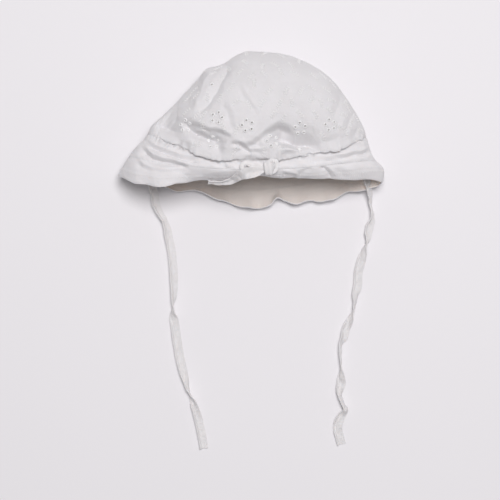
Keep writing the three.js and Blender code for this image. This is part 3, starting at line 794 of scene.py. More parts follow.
def back_hem_lift(rise, turn, points):
    """How far the back hem stands off the surface."""
    under = smooth_step(-arch_of(turn), *UNDER_BACK_HEM)
    near_edge = np.clip(1 - rise / BACK_HEM_REACH, 0, 1) ** 2
    sideways = points * (1, 0, 0)
    uneven = BACK_HEM_UNEVEN * wrinkle_heights(sideways, BACK_HEM_WAVE, BACK_HEM_WAVES, BACK_HEM_SEED)
    return BACK_HEM_LIFT * under * near_edge * (BACK_HEM_LEVEL + uneven)


def crest_dips(points):
    """How far the upper crown runs in where its outline dips, and out where it swells."""
    near_top = smooth_step(points[:, 1], *CREST_SPAN)
    return near_top * sum(wave.dip * bell(points[:, 0] - wave.x, wave.half) for wave in CREST_WAVES)


def lap_over(rise, turn, points):
    """Laps the crown over its seam, as a raised lip that hides the edge of the band."""
    u = photo_pixels(points)[:, 0]
    drop = sum(lap.drop * bell(u - lap.u, lap.half) for lap in LAPS)
    drop *= 1 + LAP_UNEVEN * wrinkle_heights(points, LAP_WAVE, LAP_WAVES, LAP_SEED)
    above = rise - SEAM
    drop *= smooth_step(above, 0, LAP_LIP) * fade_out(above, LAP_LIP, LAP_REACH)
    drop *= smooth_step(arch_of(turn), *ARCH_SAG)
    lapped = points.copy()
    lapped[:, 1] -= drop
    lapped[:, 2] += LAP_STEEP * drop
    return lapped


def curl_under(points, turn):
    """Turns the front brim down between its left wave and the bow."""
    pixels = photo_pixels(points)
    distance, _ = beside_line(pixels, CURL_LINE)
    gate = bell(pixels[:, 0] - CURL_MIDDLE, CURL_HALF) * smooth_step(arch_of(turn), *ARCH_CURL)
    turned = points.copy()
    turned[:, 2] -= CURL_SLOPE * gate * np.maximum(0, -distance) * PHOTO_PIXEL
    return turned


def hat_face(rise, turn, sizes, sunk=0.0):
    """The hat's outer face with all its folds, no lower than the surface. sunk is how far it lies deeper
    over the front."""
    points = smooth_hat(rise, turn)
    height = relief(rise, turn, points, sizes) - sunk * over_front(turn)
    sunken = crown_folds(rise, turn, points)
    points = points + outward(smooth_hat, rise, turn) * height[:, None]
    points[:, 2] += sunken
    points[:, 1] -= PUFF_SAG * puff_heights(rise, turn) * smooth_step(arch_of(turn), *ARCH_SAG)
    points[:, 1] -= crest_dips(points)
    points = lap_over(rise, turn, points)
    points = np.where((rise < BRIM_TOP)[:, None], curl_under(points, turn), points)
    points[:, 2] = np.maximum(points[:, 2], FLOOR_LIFT) + back_hem_lift(rise, turn, points)
    return points


# Mesh helpers

def turns_round(share):
    """Turns round the hat for shares from 0 to 1, closer together over the front."""
    over = share / FRONT_SHARE
    under = 1 + (share - FRONT_SHARE) / (1 - FRONT_SHARE)
    return np.where(share < FRONT_SHARE, over, under)


def over_front(turn):
    """1 over the front and 0 under the back."""
    return smooth_step(arch_of(turn), *ARCH_FRONT)


def crown_rise(turn, along):
    """Rise of the crown's cloth. Its lower edge runs on under the band over the front, and meets it at the
    back."""
    edge = SEAM - TUCK_UNDER * over_front(turn)
    return edge + along * (APEX - edge)


def brim_rise(turn, along):
    """Rise of the brim's cloth. Its upper edge runs on under the band over the front, and meets it at the
    back."""
    edge = BRIM_TOP + TUCK_UNDER * over_front(turn)
    return HEM + along * (edge - HEM)


def cloth_grid(columns, rows, place, width, length):
    """A grid of cloth whose corners are moved to place(across, along), both from 0 to 1.
    Its UV map is in metres of cloth, so that the bump keeps its size."""
    bm = bmesh.new()
    flat = bm.loops.layers.uv.new("cloth")
    bmesh.ops.create_grid(bm, x_segments=columns, y_segments=rows, size=0.5, calc_uvs=False)
    corners = np.array([vert.co for vert in bm.verts])
    shares = np.stack([corners[:, 0] + 0.5, corners[:, 1] + 0.5], axis=1)
    for face in bm.faces:
        for loop in face.loops:
            across, along = shares[loop.vert.index]
            loop[flat].uv = (across * width, along * length)
    for vert, point in zip(bm.verts, place(shares[:, 0], shares[:, 1])):
        vert.co = point
    return bm, shares


def give_wall(bm, thickness):
    """Gives a cloth its thickness towards the inside. Its inner face takes the second material."""
    bm.normal_update()
    number = bm.verts.layers.int.new("number")
    inner_places = []
    for i, vert in enumerate(bm.verts):
        vert[number] = i
        inner_places.append(vert.co - vert.normal * thickness)
    outer = set(bm.faces)
    bmesh.ops.solidify(bm, geom=bm.faces[:], thickness=thickness)
    outer_verts = {vert for face in outer for vert in face.verts}
    for face in bm.faces:
        face.material_index = 0 if any(vert in outer_verts for vert in face.verts) else 1
    for vert in bm.verts:
        if vert not in outer_verts:
            vert.co = inner_places[vert[number]]
    bm.verts.layers.int.remove(number)


def sewn_shut(bm, thickness):
    """Closes a cloth where it meets itself, turns its faces outwards and gives it its wall."""
    bmesh.ops.remove_doubles(bm, verts=bm.verts, dist=MERGE)
    bmesh.ops.recalc_face_normals(bm, faces=bm.faces)
    give_wall(bm, thickness)


def finished(name, bm, materials, replaced=()):
    """Makes a finished piece of a bmesh, which rides on the hat. It is pressed flat where it would pass
    below the surface, and edges sharper than a fold stay crisp."""
    for vert in bm.verts:
        vert.co.z = max(vert.co.z, PRESSED)
    for face in bm.faces:
        face.smooth = True
    for edge in bm.edges:
        edge.smooth = edge.calc_face_angle(0) < CRISP_ANGLE
    mesh = bpy.data.meshes.new(name)
    bm.to_mesh(mesh)
    bm.free()
    for material in materials:
        mesh.materials.append(material)
    piece = bpy.data.objects.new(name, mesh)
    bpy.context.scene.collection.objects.link(piece)
    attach(piece, "root")
    if replaced:
        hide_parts(*replaced)
    return piece


# Materials

def new_material(name):
    """A new material, with its nodes, its links and its shader."""
    material = bpy.data.materials.new(name)
    material.use_nodes = True
    nodes = material.node_tree.nodes
    return material, nodes, material.node_tree.links, nodes["Principled BSDF"]


def noise(nodes, links, place, scale, detail):
    """An uneven pattern that is fixed to the piece."""
    pattern = nodes.new("ShaderNodeTexNoise")
    pattern.inputs["Scale"].default_value = scale
    pattern.inputs["Detail"].default_value = detail
    links.new(place.outputs["Object"], pattern.inputs["Vector"])
    return pattern


def bump(nodes, links, height, strength, distance):
    """Small relief from a pattern's height."""
    raised = nodes.new("ShaderNodeBump")
    raised.inputs["Strength"].default_value = strength
    raised.inputs["Distance"].default_value = distance
    links.new(height, raised.inputs["Height"])
    return raised


def two_tones(nodes, links, pattern, shader, colour, dark, light, span):
    """Lets the colour run between a darker and a lighter share of itself, over a span of the pattern."""
    shade = nodes.new("ShaderNodeValToRGB")
    for element, share, position in zip(shade.color_ramp.elements, (dark, light), span):
        element.position = position
        element.color = (*[min(1, c * share) for c in colour], 1)
    links.new(pattern.outputs["Fac"], shade.inputs["Fac"])
    links.new(shade.outputs["Color"], shader.inputs["Base Color"])


def waffle(nodes, links, place, pitch):
    """Two crossing waves on the cloth's own map. pitch is the length of one wave in metres."""
    waves = []
    for direction in ("X", "Y"):
        wave = nodes.new("ShaderNodeTexWave")
        wave.wave_type = "BANDS"
        wave.bands_direction = direction
        wave.wave_profile = "SIN"
        wave.inputs["Scale"].default_value = 2 * math.pi / (pitch * WAVE_RADIANS)
        wave.inputs["Distortion"].default_value = 0.6
        wave.inputs["Detail"].default_value = 1.0
        links.new(place.outputs["UV"], wave.inputs["Vector"])
        waves.append(wave)
    crossing = nodes.new("ShaderNodeMath")
    crossing.operation = "MULTIPLY"
    for wave, side in zip(waves, crossing.inputs):
        links.new(wave.outputs["Fac"], side)
    return crossing


def soft_cotton(name, colour, pitch, height, crease):
    """Cotton cloth with a faint waffle, slubs and a slight unevenness of tone. pitch and height are those of
    the waffle, and crease is the height of small creases, in metres."""
    material, nodes, links, shader = new_material(name)
    shader.inputs["Roughness"].default_value = 0.85
    shader.inputs["Sheen Weight"].default_value = 0.12
    shader.inputs["Sheen Roughness"].default_value = 0.6
    shader.inputs["Specular IOR Level"].default_value = 0.25
    shader.inputs["Subsurface Weight"].default_value = 0.6
    shader.inputs["Subsurface Radius"].default_value = (1.0, 0.93, 0.88)
    shader.inputs["Subsurface Scale"].default_value = 0.0013
    place = nodes.new("ShaderNodeTexCoord")
    crossing = waffle(nodes, links, place, pitch)
    slub = noise(nodes, links, place, scale=420.0, detail=3.0)
    small = bump(nodes, links, crossing.outputs["Value"], strength=0.6, distance=height)
    uneven = bump(nodes, links, slub.outputs["Fac"], strength=0.5, distance=crease)
    links.new(small.outputs["Normal"], uneven.inputs["Normal"])
    links.new(uneven.outputs["Normal"], shader.inputs["Normal"])
    tone = noise(nodes, links, place, scale=60.0, detail=4.0)
    two_tones(nodes, links, tone, shader, colour, dark=0.965, light=1.015, span=(0.3, 0.7))
    return material


def stitched_thread(name, colour):
    """Cotton thread with a slight gloss, laid in close stitches."""
    material, nodes, links, shader = new_material(name)
    shader.inputs["Roughness"].default_value = 0.6
    shader.inputs["Sheen Weight"].default_value = 0.2
    shader.inputs["Specular IOR Level"].default_value = 0.35
    place = nodes.new("ShaderNodeTexCoord")
    strand = noise(nodes, links, place, scale=1800.0, detail=2.0)
    ridges = bump(nodes, links, strand.outputs["Fac"], strength=0.7, distance=0.0002)
    links.new(ridges.outputs["Normal"], shader.inputs["Normal"])
    two_tones(nodes, links, strand, shader, colour, dark=0.94, light=1.0, span=(0.3, 0.7))
    return material


def pale_surface(name, colour):
    """Matt studio paper."""
    material, nodes, links, shader = new_material(name)
    shader.inputs["Roughness"].default_value = 0.9
    shader.inputs["Specular IOR Level"].default_value = 0.1
    place = nodes.new("ShaderNodeTexCoord")
    fleck = noise(nodes, links, place, scale=8.0, detail=2.0)
    two_tones(nodes, links, fleck, shader, colour, dark=0.99, light=1.0, span=(0.0, 1.0))
    return material


def material_of(name, make, *values):
    """The material of that name, made with these values the first time it is asked for."""
    return bpy.data.materials.get(name) or make(name, *values)


# Painted shade: the crown's cotton is darker than the same white cotton of the band and the brim
def shaded_crown_cotton(context):
    colour = context.scene.sun_hat_colours.eyelet_cotton
    return material_of("eyelet cotton", soft_cotton, colour, LAWN_PITCH, LAWN_RELIEF, CROWN_CREASE)


def plain_cotton(context):
    colour = context.scene.sun_hat_colours.cotton
    return material_of("plain cotton", soft_cotton, colour, LAWN_PITCH, LAWN_RELIEF, PLAIN_CREASE)


# Painted light: the inner faces take a lighter, warmer copy of the cotton, which brightens the hat's shaded
# hollow
def inner_cotton_painted_light(context):
    colour = context.scene.sun_hat_colours.inside
    return material_of("cotton inside", soft_cotton, colour, LAWN_PITCH, LAWN_RELIEF, INSIDE_CREASE)


def tape_cotton(context):
    colour = context.scene.sun_hat_colours.tape
    return material_of("cotton tape", soft_cotton, colour, TAPE_PITCH, TAPE_RELIEF, TAPE_CREASE)


def white_thread(context):
    colour = context.scene.sun_hat_colours.thread
    return material_of("white thread", stitched_thread, colour)


def fine_thread(context):
    colour = context.scene.sun_hat_colours.fine_thread
    return material_of("fine thread", stitched_thread, colour)


# Tapes

def tape_line(route, width, thickness, ground, steps):
    """Middle, way across, way out, roll, widening and length of a rolled tape, at even steps of its
    route."""
    turns = np.array(route, float)
    rolls = np.radians(turns[:, 3])
    standing = (np.abs(np.sin(rolls)) * width * turns[:, 4] + np.abs(np.cos(rolls)) * thickness) / 2
    heights = np.array([ground(x, y) for x, y in turns[:, :2]]) + turns[:, 2] + standing
    stops = np.column_stack([turns[:, :2], heights, rolls, turns[:, 4]])
    stations = np.concatenate([[0], np.cumsum(np.linalg.norm(np.diff(stops[:, :3], axis=0), axis=1))])
    wanted = np.linspace(0, stations[-1], steps + 1)
    line = smooth_rows(stops, stations, wanted)
    middle = line[:, :3]
    heading = np.gradient(middle, axis=0)
    heading /= np.linalg.norm(heading, axis=1)[:, None]
    flat = np.cross([0, 0, 1], heading)
    flat /= np.linalg.norm(flat, axis=1)[:, None]
    roll = line[:, 3:4]
    across = flat * np.cos(roll) + np.cross(heading, flat) * np.sin(roll)
    proud = np.cross(heading, across)
    return middle, across, proud, line[:, 3], line[:, 4], wanted[-1]


def tape_piece(context, name, route, width, thickness, ground, crumple, curl=0.0, lowest=None):
    """A flat tape along a route, cupped across its width. crumple is how uneven it lies, curl how far its
    left edge, seen from above, turns up, and lowest the surface that it lies on. Returns the piece, its
    middle line and its length."""
    rows = len(route) * TAPE_ROWS
    middle, across, proud, roll, broad, run = tape_line(route, width, thickness, ground, rows)

    def place(side, along):
        row = np.rint(along * rows).astype(int)
        off = (side - 0.5) * width * broad[row]
        points = middle[row] + across[row] * off[:, None]
        cup = TAPE_CUP * np.cos(2 * np.pi * side)
        cup += crumple * wrinkle_heights(points, TAPE_WRINKLE, TAPE_WRINKLES, TAPE_SEED)
        points = points + proud[row] * cup[:, None]
        outer_quarter = np.clip(4 * (0.5 - side) * np.cos(roll[row]) - 1, 0, 1)
        points[:, 2] += curl * outer_quarter ** 2
        return points

    bm, _ = cloth_grid(TAPE_COLUMNS, rows, place, width, run)
    if lowest is not None:
        for vert in bm.verts:
            vert.co.z = max(vert.co.z, lowest + thickness / 2)
    give_wall(bm, thickness * TAPE_WALL)
    piece = finished(name + "_tape", bm, (tape_cotton(context),) * 2, (name,))
    return piece, middle, run


class SUNHAT_OT_ties(bpy.types.Operator):
    """Lays the two chin ties out on the surface"""

    bl_idname = "sunhat.ties"
    bl_label = "Chin Ties"

    def execute(self, context):
        sizes = context.scene.sun_hat_sizes
        for name, route in (("tie_left", TIE_LEFT), ("tie_right", TIE_RIGHT)):
            piece, middle, run = tape_piece(
                context, name, route, sizes.tie_width, sizes.tie_thickness, lambda x, y: 0.0,
                TIE_CRUMPLE, TIE_CURL, FLOOR_LIFT)
        return {"FINISHED"}


# Embroidery and stitches

def face_net(rises, turns, sizes):
    """Rise, turn and points of the folded cloth on a net of rises and turns."""
    rise, turn = np.meshgrid(rises, turns)
    rise, turn = rise.ravel(), turn.ravel()
    return rise, turn, hat_face(rise, turn, sizes)


def crown_net(sizes, first_turn):
    """A close net over the crown's front, or its back from a first turn of 1."""
    return face_net(np.linspace(*CROWN_NET_RISES), np.linspace(*CROWN_NET_TURNS) + first_turn, sizes)


def flower_middles(sizes):
    """Rise and turn of each lone eyelet and of the middle of each eyelet flower."""
    middles = []
    rise, turn, points = crown_net(sizes, 0)
    pixels = photo_pixels(points)
    for u, v in LONE_EYELETS + FRONT_FLOWERS:
        nearest = np.argmin((pixels[:, 0] - u) ** 2 + (pixels[:, 1] - v) ** 2)
        middles.append((rise[nearest], turn[nearest]))
    rise, turn, points = crown_net(sizes, 1)
    for x, y in BACK_FLOWERS:
        nearest = np.argmin((points[:, 0] - x) ** 2 + (points[:, 1] - y) ** 2)
        middles.append((rise[nearest], turn[nearest]))
    return middles


def beside(place, offset):
    """The rise and turn a little way along the cloth from a place: offset is metres to the right and up."""
    rise, turn = place
    step = BESIDE_STEP
    rises = np.array([rise - step, rise + step, rise, rise])
    turns = np.array([turn, turn, turn - step, turn + step])
    low, high, right, left = smooth_hat(rises, turns)
    up = (high - low) / (2 * step)
    leftwards = (left - right) / (2 * step)
    way_up = up / np.linalg.norm(up)
    way_right = -leftwards + way_up * (leftwards @ way_up)
    way_right /= np.linalg.norm(way_right)
    shift = way_right * offset[0] + way_up * offset[1]
    moves, *_ = np.linalg.lstsq(np.stack([up, leftwards], axis=1), shift, rcond=None)
    return rise + moves[0], turn + moves[1]


def even_turns(rise, pitch, sizes):
    """Turns round the hat at one rise, a pitch apart along the cloth."""
    fine = np.linspace(0, 2, FINE_TURNS)
    line = hat_face(np.full(len(fine), rise), fine, sizes)
    along = np.concatenate([[0], np.cumsum(np.linalg.norm(np.diff(line, axis=0), axis=1))])
    count = int(along[-1] / pitch)
    return np.interp(np.arange(count) * along[-1] / count, along, fine)


def flower_eyelets(middles, sizes):
    """Rise and turn of the eyelets that ring each flower's middle."""
    rng = np.random.default_rng(FLOWER_SEED)
    places = []
    for middle in middles:
        lean = rng.uniform(*FLOWER_LEANS) + math.pi
        for i in range(EYELETS):
            angle = lean + 2 * math.pi * i / EYELETS
            out = sizes.flower_radius
            places.append(beside(middle, (out * math.cos(angle), out * math.sin(angle))))
    return places


def sprig_middles(middles, sizes):
    """Rise and turn of the middle of each sprig, on a loose net that keeps clear of flowers and deep
    folds."""
    rng = np.random.default_rng(SPRIG_SEED)
    spots = []
    for rise in np.arange(SEAM + SPRIG_MARGIN, APEX - SPRIG_MARGIN, SPRIG_GAP):
        for turn in even_turns(rise, SPRIG_GAP, sizes):
            up = SPRIG_GAP * rng.uniform(*SPRIG_STRAYS)
            spots.append((rise + up, turn + rng.uniform(*SPRIG_STRAY_TURNS)))
    flowers, _, _ = on_face(middles, sizes)
    points, _, _ = on_face(spots, sizes)
    away = np.linalg.norm(points[:, None] - flowers[None], axis=2).min(axis=1)
    rise, turn = np.array(spots).T
    sunken = crown_folds(rise, turn, smooth_hat(rise, turn))
    keep = (away > SPRIG_CLEAR) & (sunken > -SPRIG_SUNK)
    return [place for place, kept in zip(spots, keep) if kept]


def sprig_places(middles):
    """Places of the stem stitches and of the leaves of each sprig, with the way that each one points."""
    rng = np.random.default_rng(STEM_SEED)
    stems, leaves = [], []
    for middle in middles:
        way = rng.uniform(*SPRIG_WAYS)
        bend = rng.choice((-1, 1)) * SPRIG_BEND
        x = -SPRIG_STRIDE * SPRIG_JOINTS / 2 * math.cos(way)
        y = -SPRIG_STRIDE * SPRIG_JOINTS / 2 * math.sin(way)
        for _ in range(SPRIG_JOINTS):
            stems.append((beside(middle, (x, y)), way))
            x += SPRIG_STRIDE / 2 * math.cos(way)
            y += SPRIG_STRIDE / 2 * math.sin(way)
            for lean in (way - LEAF_LEAN, way + LEAF_LEAN):
                off = (x + LEAF_OFF * math.cos(lean), y + LEAF_OFF * math.sin(lean))
                leaves.append((beside(middle, off), lean))
            x += SPRIG_STRIDE / 2 * math.cos(way)
            y += SPRIG_STRIDE / 2 * math.sin(way)
            way += bend
        leaves.append((beside(middle, (x, y)), way))
    return stems, leaves


def free_corner(bm, away, taken):
    """The nearest corner of the cloth, and the ring round it, that no other eyelet has taken."""
    for nearest in np.argsort(away)[:EYELET_TRIES]:
        middle = bm.verts[int(nearest)]
        ring = {vert for face in middle.link_faces for vert in face.verts} - {middle}
        if len(ring) == EYELET_ROUND and not (ring | {middle}) & taken:
            return middle, ring
    raise RuntimeError("no free cloth for an eyelet")


def pierce(bm, shares, eyelets, radius):
    """Opens a round eyelet at the free grid corner nearest to each place."""
    flat_turns = turns_round(shares[:, 0])
    flat_rises = crown_rise(flat_turns, shares[:, 1])
    run = LOOP_RUN * CROWN_RUN
    bm.verts.ensure_lookup_table()
    middles = []
    taken = set()
    for rise, turn, point, normal in eyelets:
        away = np.hypot(flat_rises - rise, (flat_turns - turn) * run)
        middle, ring = free_corner(bm, away, taken)
        taken |= ring | {middle}
        middle.co = point
        axis = Vector(normal)
        for vert in ring:
            off = vert.co - middle.co
            off -= axis * off.dot(axis)
            vert.co = middle.co + off.normalized() * radius
        middles.append(middle)
    bmesh.ops.delete(bm, geom=middles, context="VERTS")


def thread_ring(radius, thick, segments, sides):
    """A ring of closely stitched thread, lying flat at the origin."""
    bm = bmesh.new()
    made = bmesh.ops.create_circle(bm, segments=sides, radius=thick)
    upright = Matrix.Rotation(math.pi / 2, 3, "X")
    bmesh.ops.rotate(bm, verts=made["verts"], cent=(0, 0, 0), matrix=upright)
    bmesh.ops.translate(bm, verts=made["verts"], vec=(radius, 0, 0))
    bmesh.ops.spin(bm, geom=bm.verts[:] + bm.edges[:], cent=(0, 0, 0), axis=(0, 0, 1), angle=2 * math.pi,
                   steps=segments, use_merge=True)
    bmesh.ops.recalc_face_normals(bm, faces=bm.faces)
    mesh = bpy.data.meshes.new("thread_ring")
    bm.to_mesh(mesh)
    bm.free()
    return mesh


def small_pad(name, halves):
    """A small raised pad of thread, long along X, lying flat at the origin."""
    bm = bmesh.new()
    bmesh.ops.create_uvsphere(bm, u_segments=PAD_SEGMENTS, v_segments=PAD_RINGS, radius=1.0)
    bmesh.ops.scale(bm, verts=bm.verts, vec=halves)
    mesh = bpy.data.meshes.new(name)
    bm.to_mesh(mesh)
    bm.free()
    return mesh


def sewn_on(bm, mesh, points, normals, headings):
    """Adds a copy of a mesh at each point, its Z axis along the normal and its X axis along the heading."""
    old = len(bm.verts)
    places = []
    for point, normal, heading in zip(points, normals, headings):
        bm.from_mesh(mesh)
        up = Vector(normal)
        side = up.cross(Vector(heading)).normalized()
        turn = Matrix((side.cross(up), side, up)).transposed().to_4x4()
        places.append(Matrix.Translation(point) @ turn)
    size = len(mesh.vertices)
    for i, vert in enumerate(list(bm.verts)[old:]):
        vert.co = places[i // size] @ vert.co


def on_face(places, sizes):
    """Points, outward normals and headings round the hat, of the folded cloth at places of rise and
    turn."""
    rise, turn = np.array(places).T
    points = hat_face(rise, turn, sizes)
    normals = outward(lambda r, t: hat_face(r, t, sizes), rise, turn)
    headings = hat_face(rise, turn - HEADING_STEP, sizes) - points
    return points, normals, headings


def stitch_row(name, rise, material, sizes):
    """A row of sewing stitches round the hat at one rise."""
    turns = even_turns(rise, STITCH_PITCH, sizes)
    bm = bmesh.new()
    places = [(rise, turn) for turn in turns]
    sewn_on(bm, small_pad("stitch", STITCH_HALVES), *on_face(places, sizes))
    return finished(name, bm, (material,))


def crown_shell(sizes):
    """The crown's gathered cloth, before its eyelets are pierced."""

    def place(across, along):
        turn = turns_round(across)
        rise = crown_rise(turn, along)
        sunk = TUCK_DEPTH * fade_out(rise, SEAM, SEAM + TUCK_SPAN)
        return hat_face(rise, turn, sizes, sunk)

    return cloth_grid(CROWN_COLUMNS, CROWN_ROWS, place, CROWN_MAP, APEX - SEAM)


def embroidery_threads(sizes, eyelets, sprigs):
    """A ring round each eyelet, and the stems and leaves of the sprigs in the second material."""
    threads = bmesh.new()
    half = sizes.thread_width / 2
    ring = thread_ring(sizes.eyelet_radius + half * RING_OUT, half, RING_SEGMENTS, RING_SIDES)
    sewn_on(threads, ring, *eyelets)
    rings = len(threads.faces)
    for name, halves, stitches in zip(("stem", "leaf"), (STEM_HALVES, LEAF_HALVES), sprigs):
        points, normals, headings = on_face([place for place, _ in stitches], sizes)
        turned = [Matrix.Rotation(way, 3, normal) @ Vector(heading)
                  for (_, way), normal, heading in zip(stitches, normals, headings)]
        sewn_on(threads, small_pad(name, halves), points, normals, turned)
    threads.faces.ensure_lookup_table()
    for face in threads.faces[rings:]:
        face.material_index = 1
    return threads


class SUNHAT_OT_crown(bpy.types.Operator):
    """Gathers the eyelet crown and stitches its embroidery"""

    bl_idname = "sunhat.crown"
    bl_label = "Crown"

    def execute(self, context):
        sizes = context.scene.sun_hat_sizes
        bm, shares = crown_shell(sizes)
        middles = flower_middles(sizes)
        lone = len(LONE_EYELETS)
        pierced = middles[:lone] + flower_eyelets(middles[lone:], sizes)
        sprigs = sprig_places(sprig_middles(middles, sizes))
        points, normals, headings = on_face(pierced, sizes)
        eyelets = [(*spot, point, normal) for spot, point, normal in zip(pierced, points, normals)]
        pierce(bm, shares, eyelets, sizes.eyelet_radius)
        sewn_shut(bm, sizes.crown_cloth)
        cottons = (shaded_crown_cotton(context), inner_cotton_painted_light(context))
        piece = finished("crown_cloth", bm, cottons, ("crown",))
        threads = embroidery_threads(sizes, (points, normals, headings), sprigs)
        colours = (white_thread(context), fine_thread(context))
        embroidery = finished("eyelet_embroidery", threads, colours)
        return {"FINISHED"}


class SUNHAT_OT_band(bpy.types.Operator):
    """Sews the band with the tucks that the drawstring draws in"""

    bl_idname = "sunhat.band"
    bl_label = "Band"

    def execute(self, context):
        sizes = context.scene.sun_hat_sizes

        def place(across, along):
            return hat_face(BRIM_TOP + along * (SEAM - BRIM_TOP), turns_round(across), sizes)

        bm, _ = cloth_grid(BRIM_COLUMNS, BAND_ROWS, place, BAND_MAP, SEAM - BRIM_TOP)
        sewn_shut(bm, sizes.plain_cloth)
        cottons = (plain_cotton(context), inner_cotton_painted_light(context))
        piece = finished("band_cloth", bm, cottons, ("band",))
        upper = stitch_row("band_upper_stitches", SEAM - STITCH_INSET, fine_thread(context), sizes)
        lower = stitch_row("band_lower_stitches", BRIM_TOP + STITCH_INSET, fine_thread(context), sizes)
        return {"FINISHED"}


class SUNHAT_OT_brim(bpy.types.Operator):
    """Sews the brim with its wavy turned hem"""

    bl_idname = "sunhat.brim"
    bl_label = "Brim"

    def execute(self, context):
        sizes = context.scene.sun_hat_sizes

        def place(across, along):
            turn = turns_round(across)
            rise = brim_rise(turn, along)
            sunk = TUCK_DEPTH * smooth_step(rise, BRIM_TOP - TUCK_SPAN, BRIM_TOP)
            return hat_face(rise, turn, sizes, sunk)

        bm, _ = cloth_grid(BRIM_COLUMNS, BRIM_ROWS, place, BRIM_MAP, BRIM_TOP - HEM)
        sewn_shut(bm, sizes.plain_cloth)
        cottons = (plain_cotton(context), inner_cotton_painted_light(context))
        piece = finished("brim_cloth", bm, cottons, ("brim",))
        stitches = stitch_row("hem_stitches", sizes.hem_width - STITCH_INSET, fine_thread(context), sizes)
        return {"FINISHED"}


def cloth_height(sizes):
    """A function that gives the height of the front's band and brim at a place seen from above."""
    _, _, points = face_net(np.linspace(*BAND_NET_RISES), np.linspace(*BAND_NET_TURNS), sizes)

    def height(x, y):
        nearest = np.argmin((points[:, 0] - x) ** 2 + (points[:, 1] - y) ** 2)
        return points[nearest, 2]

    return height


def wrapped_knot(middle):
    """A knot: a round core with one turn of folded tape wrapped over it."""
    bm = bmesh.new()
    bmesh.ops.create_uvsphere(bm, u_segments=KNOT_SEGMENTS, v_segments=KNOT_RINGS, radius=1.0)
    ways = np.array([vert.co for vert in bm.verts])
    across = ways[:, 0] + KNOT_LEAN * ways[:, 1]
    aside = np.abs(across)
    swell = KNOT_WRAP * fade_out(aside, KNOT_WRAP_HALF - KNOT_WRAP_EDGE, KNOT_WRAP_HALF + KNOT_WRAP_EDGE)
    swell += KNOT_FOLD * np.sin(KNOT_FOLDS * np.pi * across) * fade_out(aside, *KNOT_FOLD_UNTIL)
    swell += KNOT_FOLD * wrinkle_heights(ways, KNOT_WRINKLE, KNOT_WRINKLES, KNOT_SEED)
    for vert, more in zip(bm.verts, swell):
        vert.co *= 1 - KNOT_WRAP + more
    bmesh.ops.scale(bm, verts=bm.verts, vec=KNOT_HALVES)
    bmesh.ops.translate(bm, verts=bm.verts, vec=middle)
    return bm


class SUNHAT_OT_drawstring(bpy.types.Operator):
    """Ties the drawstring in a bow at the front"""

    bl_idname = "sunhat.drawstring"
    bl_label = "Drawstring"

    def execute(self, context):
        sizes = context.scene.sun_hat_sizes
        ground = cloth_height(sizes)
        for name, route in (
            ("drawstring_loop_left", LOOP_LEFT),
            ("drawstring_loop_right", LOOP_RIGHT),
            ("drawstring_tail", TAIL),
        ):
            tape_piece(
                context, name, route, sizes.string_width, sizes.tie_thickness, ground, STRING_CRUMPLE)
        x, y = KNOT_MIDDLE
        bm = wrapped_knot(Vector((x, y, ground(x, y) + KNOT_LIFT + KNOT_HALVES[2])))
        finished("drawstring_knot_tape", bm, (tape_cotton(context),), ("drawstring_knot",))
        return {"FINISHED"}


# Stage

def paper_floor(scene):
    """The pale surface that the hat lies on."""
    bm = bmesh.new()
    bmesh.ops.create_grid(bm, x_segments=1, y_segments=1, size=FLOOR_HALF)
    mesh = bpy.data.meshes.new("floor")
    bm.to_mesh(mesh)
    bm.free()
    mesh.materials.append(pale_surface("studio paper", scene.sun_hat_colours.floor))
    floor = bpy.data.objects.new("floor", mesh)
    scene.collection.objects.link(floor)


def window_light(scene):
    """One large round light above the hat, beyond its crown and to the right, and a dim sky."""
    data = bpy.data.lights.new("window", "AREA")
    data.shape = "DISK"
    data.size = WINDOW_SIZE
    data.energy = WINDOW_POWER
    data.color = WINDOW_COLOUR
    light = bpy.data.objects.new("window", data)
    light.location = WINDOW_PLACE
    light.rotation_mode = "QUATERNION"
    light.rotation_quaternion = (Vector(WINDOW_AIM) - Vector(WINDOW_PLACE)).to_track_quat("-Z", "Y")
    scene.collection.objects.link(light)
    world = bpy.data.worlds.new("studio")
    scene.world = world
    world.use_nodes = True
    sky = world.node_tree.nodes["Background"]
    sky.inputs["Color"].default_value = SKY_COLOUR
    sky.inputs["Strength"].default_value = SKY_STRENGTH


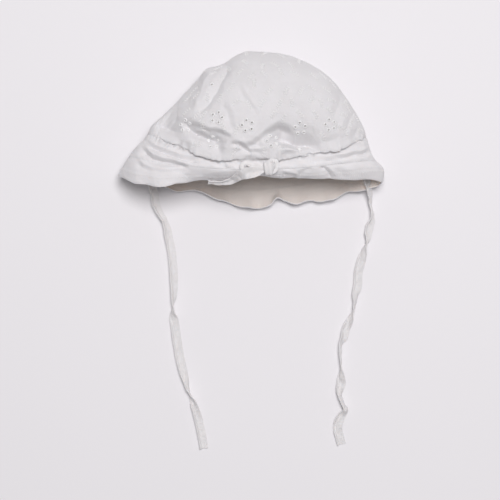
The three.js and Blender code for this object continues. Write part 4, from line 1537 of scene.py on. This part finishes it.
def photo_camera(scene):
    """The camera straight above the hat, at the photo's scale."""
    data = bpy.data.cameras.new("photo camera")
    data.sensor_width = SENSOR
    data.lens = SENSOR * PHOTO_EYE.z / (PHOTO_SIDE * PHOTO_PIXEL)
    camera = bpy.data.objects.new("photo camera", data)
    camera.location = PHOTO_EYE
    scene.collection.objects.link(camera)
    scene.camera = camera


class SUNHAT_OT_stage(bpy.types.Operator):
    """Sets the pale floor, the soft light and the camera"""

    bl_idname = "sunhat.stage"
    bl_label = "Stage"

    def execute(self, context):
        scene = context.scene
        scene.view_settings.view_transform = "Standard"
        paper_floor(scene)
        window_light(scene)
        photo_camera(scene)
        return {"FINISHED"}


class SUNHAT_PT_panel(bpy.types.Panel):
    """Lists the steps of sewing the hat"""

    bl_idname = "SUNHAT_PT_panel"
    bl_label = "Sun Hat"
    bl_space_type = "VIEW_3D"
    bl_region_type = "UI"
    bl_category = "Sun Hat"

    def draw(self, context):
        layout = self.layout
        for operator in OPERATORS:
            layout.operator(operator.bl_idname)
        for group in (context.scene.sun_hat_sizes, context.scene.sun_hat_colours):
            for name in group.__annotations__:
                layout.prop(group, name)


OPERATORS = (
    SUNHAT_OT_stage,
    SUNHAT_OT_ties,
    SUNHAT_OT_crown,
    SUNHAT_OT_band,
    SUNHAT_OT_brim,
    SUNHAT_OT_drawstring,
)
CLASSES = (SunHatSizes, SunHatColours, *OPERATORS, SUNHAT_PT_panel)


def register():
    for cls in CLASSES:
        bpy.utils.register_class(cls)
    bpy.types.Scene.sun_hat_sizes = PointerProperty(type=SunHatSizes)
    bpy.types.Scene.sun_hat_colours = PointerProperty(type=SunHatColours)


def unregister():
    del bpy.types.Scene.sun_hat_colours
    del bpy.types.Scene.sun_hat_sizes
    for cls in reversed(CLASSES):
        bpy.utils.unregister_class(cls)


def main():
    register()
    bpy.ops.sunhat.stage()
    bpy.ops.sunhat.ties()
    bpy.ops.sunhat.crown()
    bpy.ops.sunhat.band()
    bpy.ops.sunhat.brim()
    bpy.ops.sunhat.drawstring()


if __name__ == "__main__":
    main()
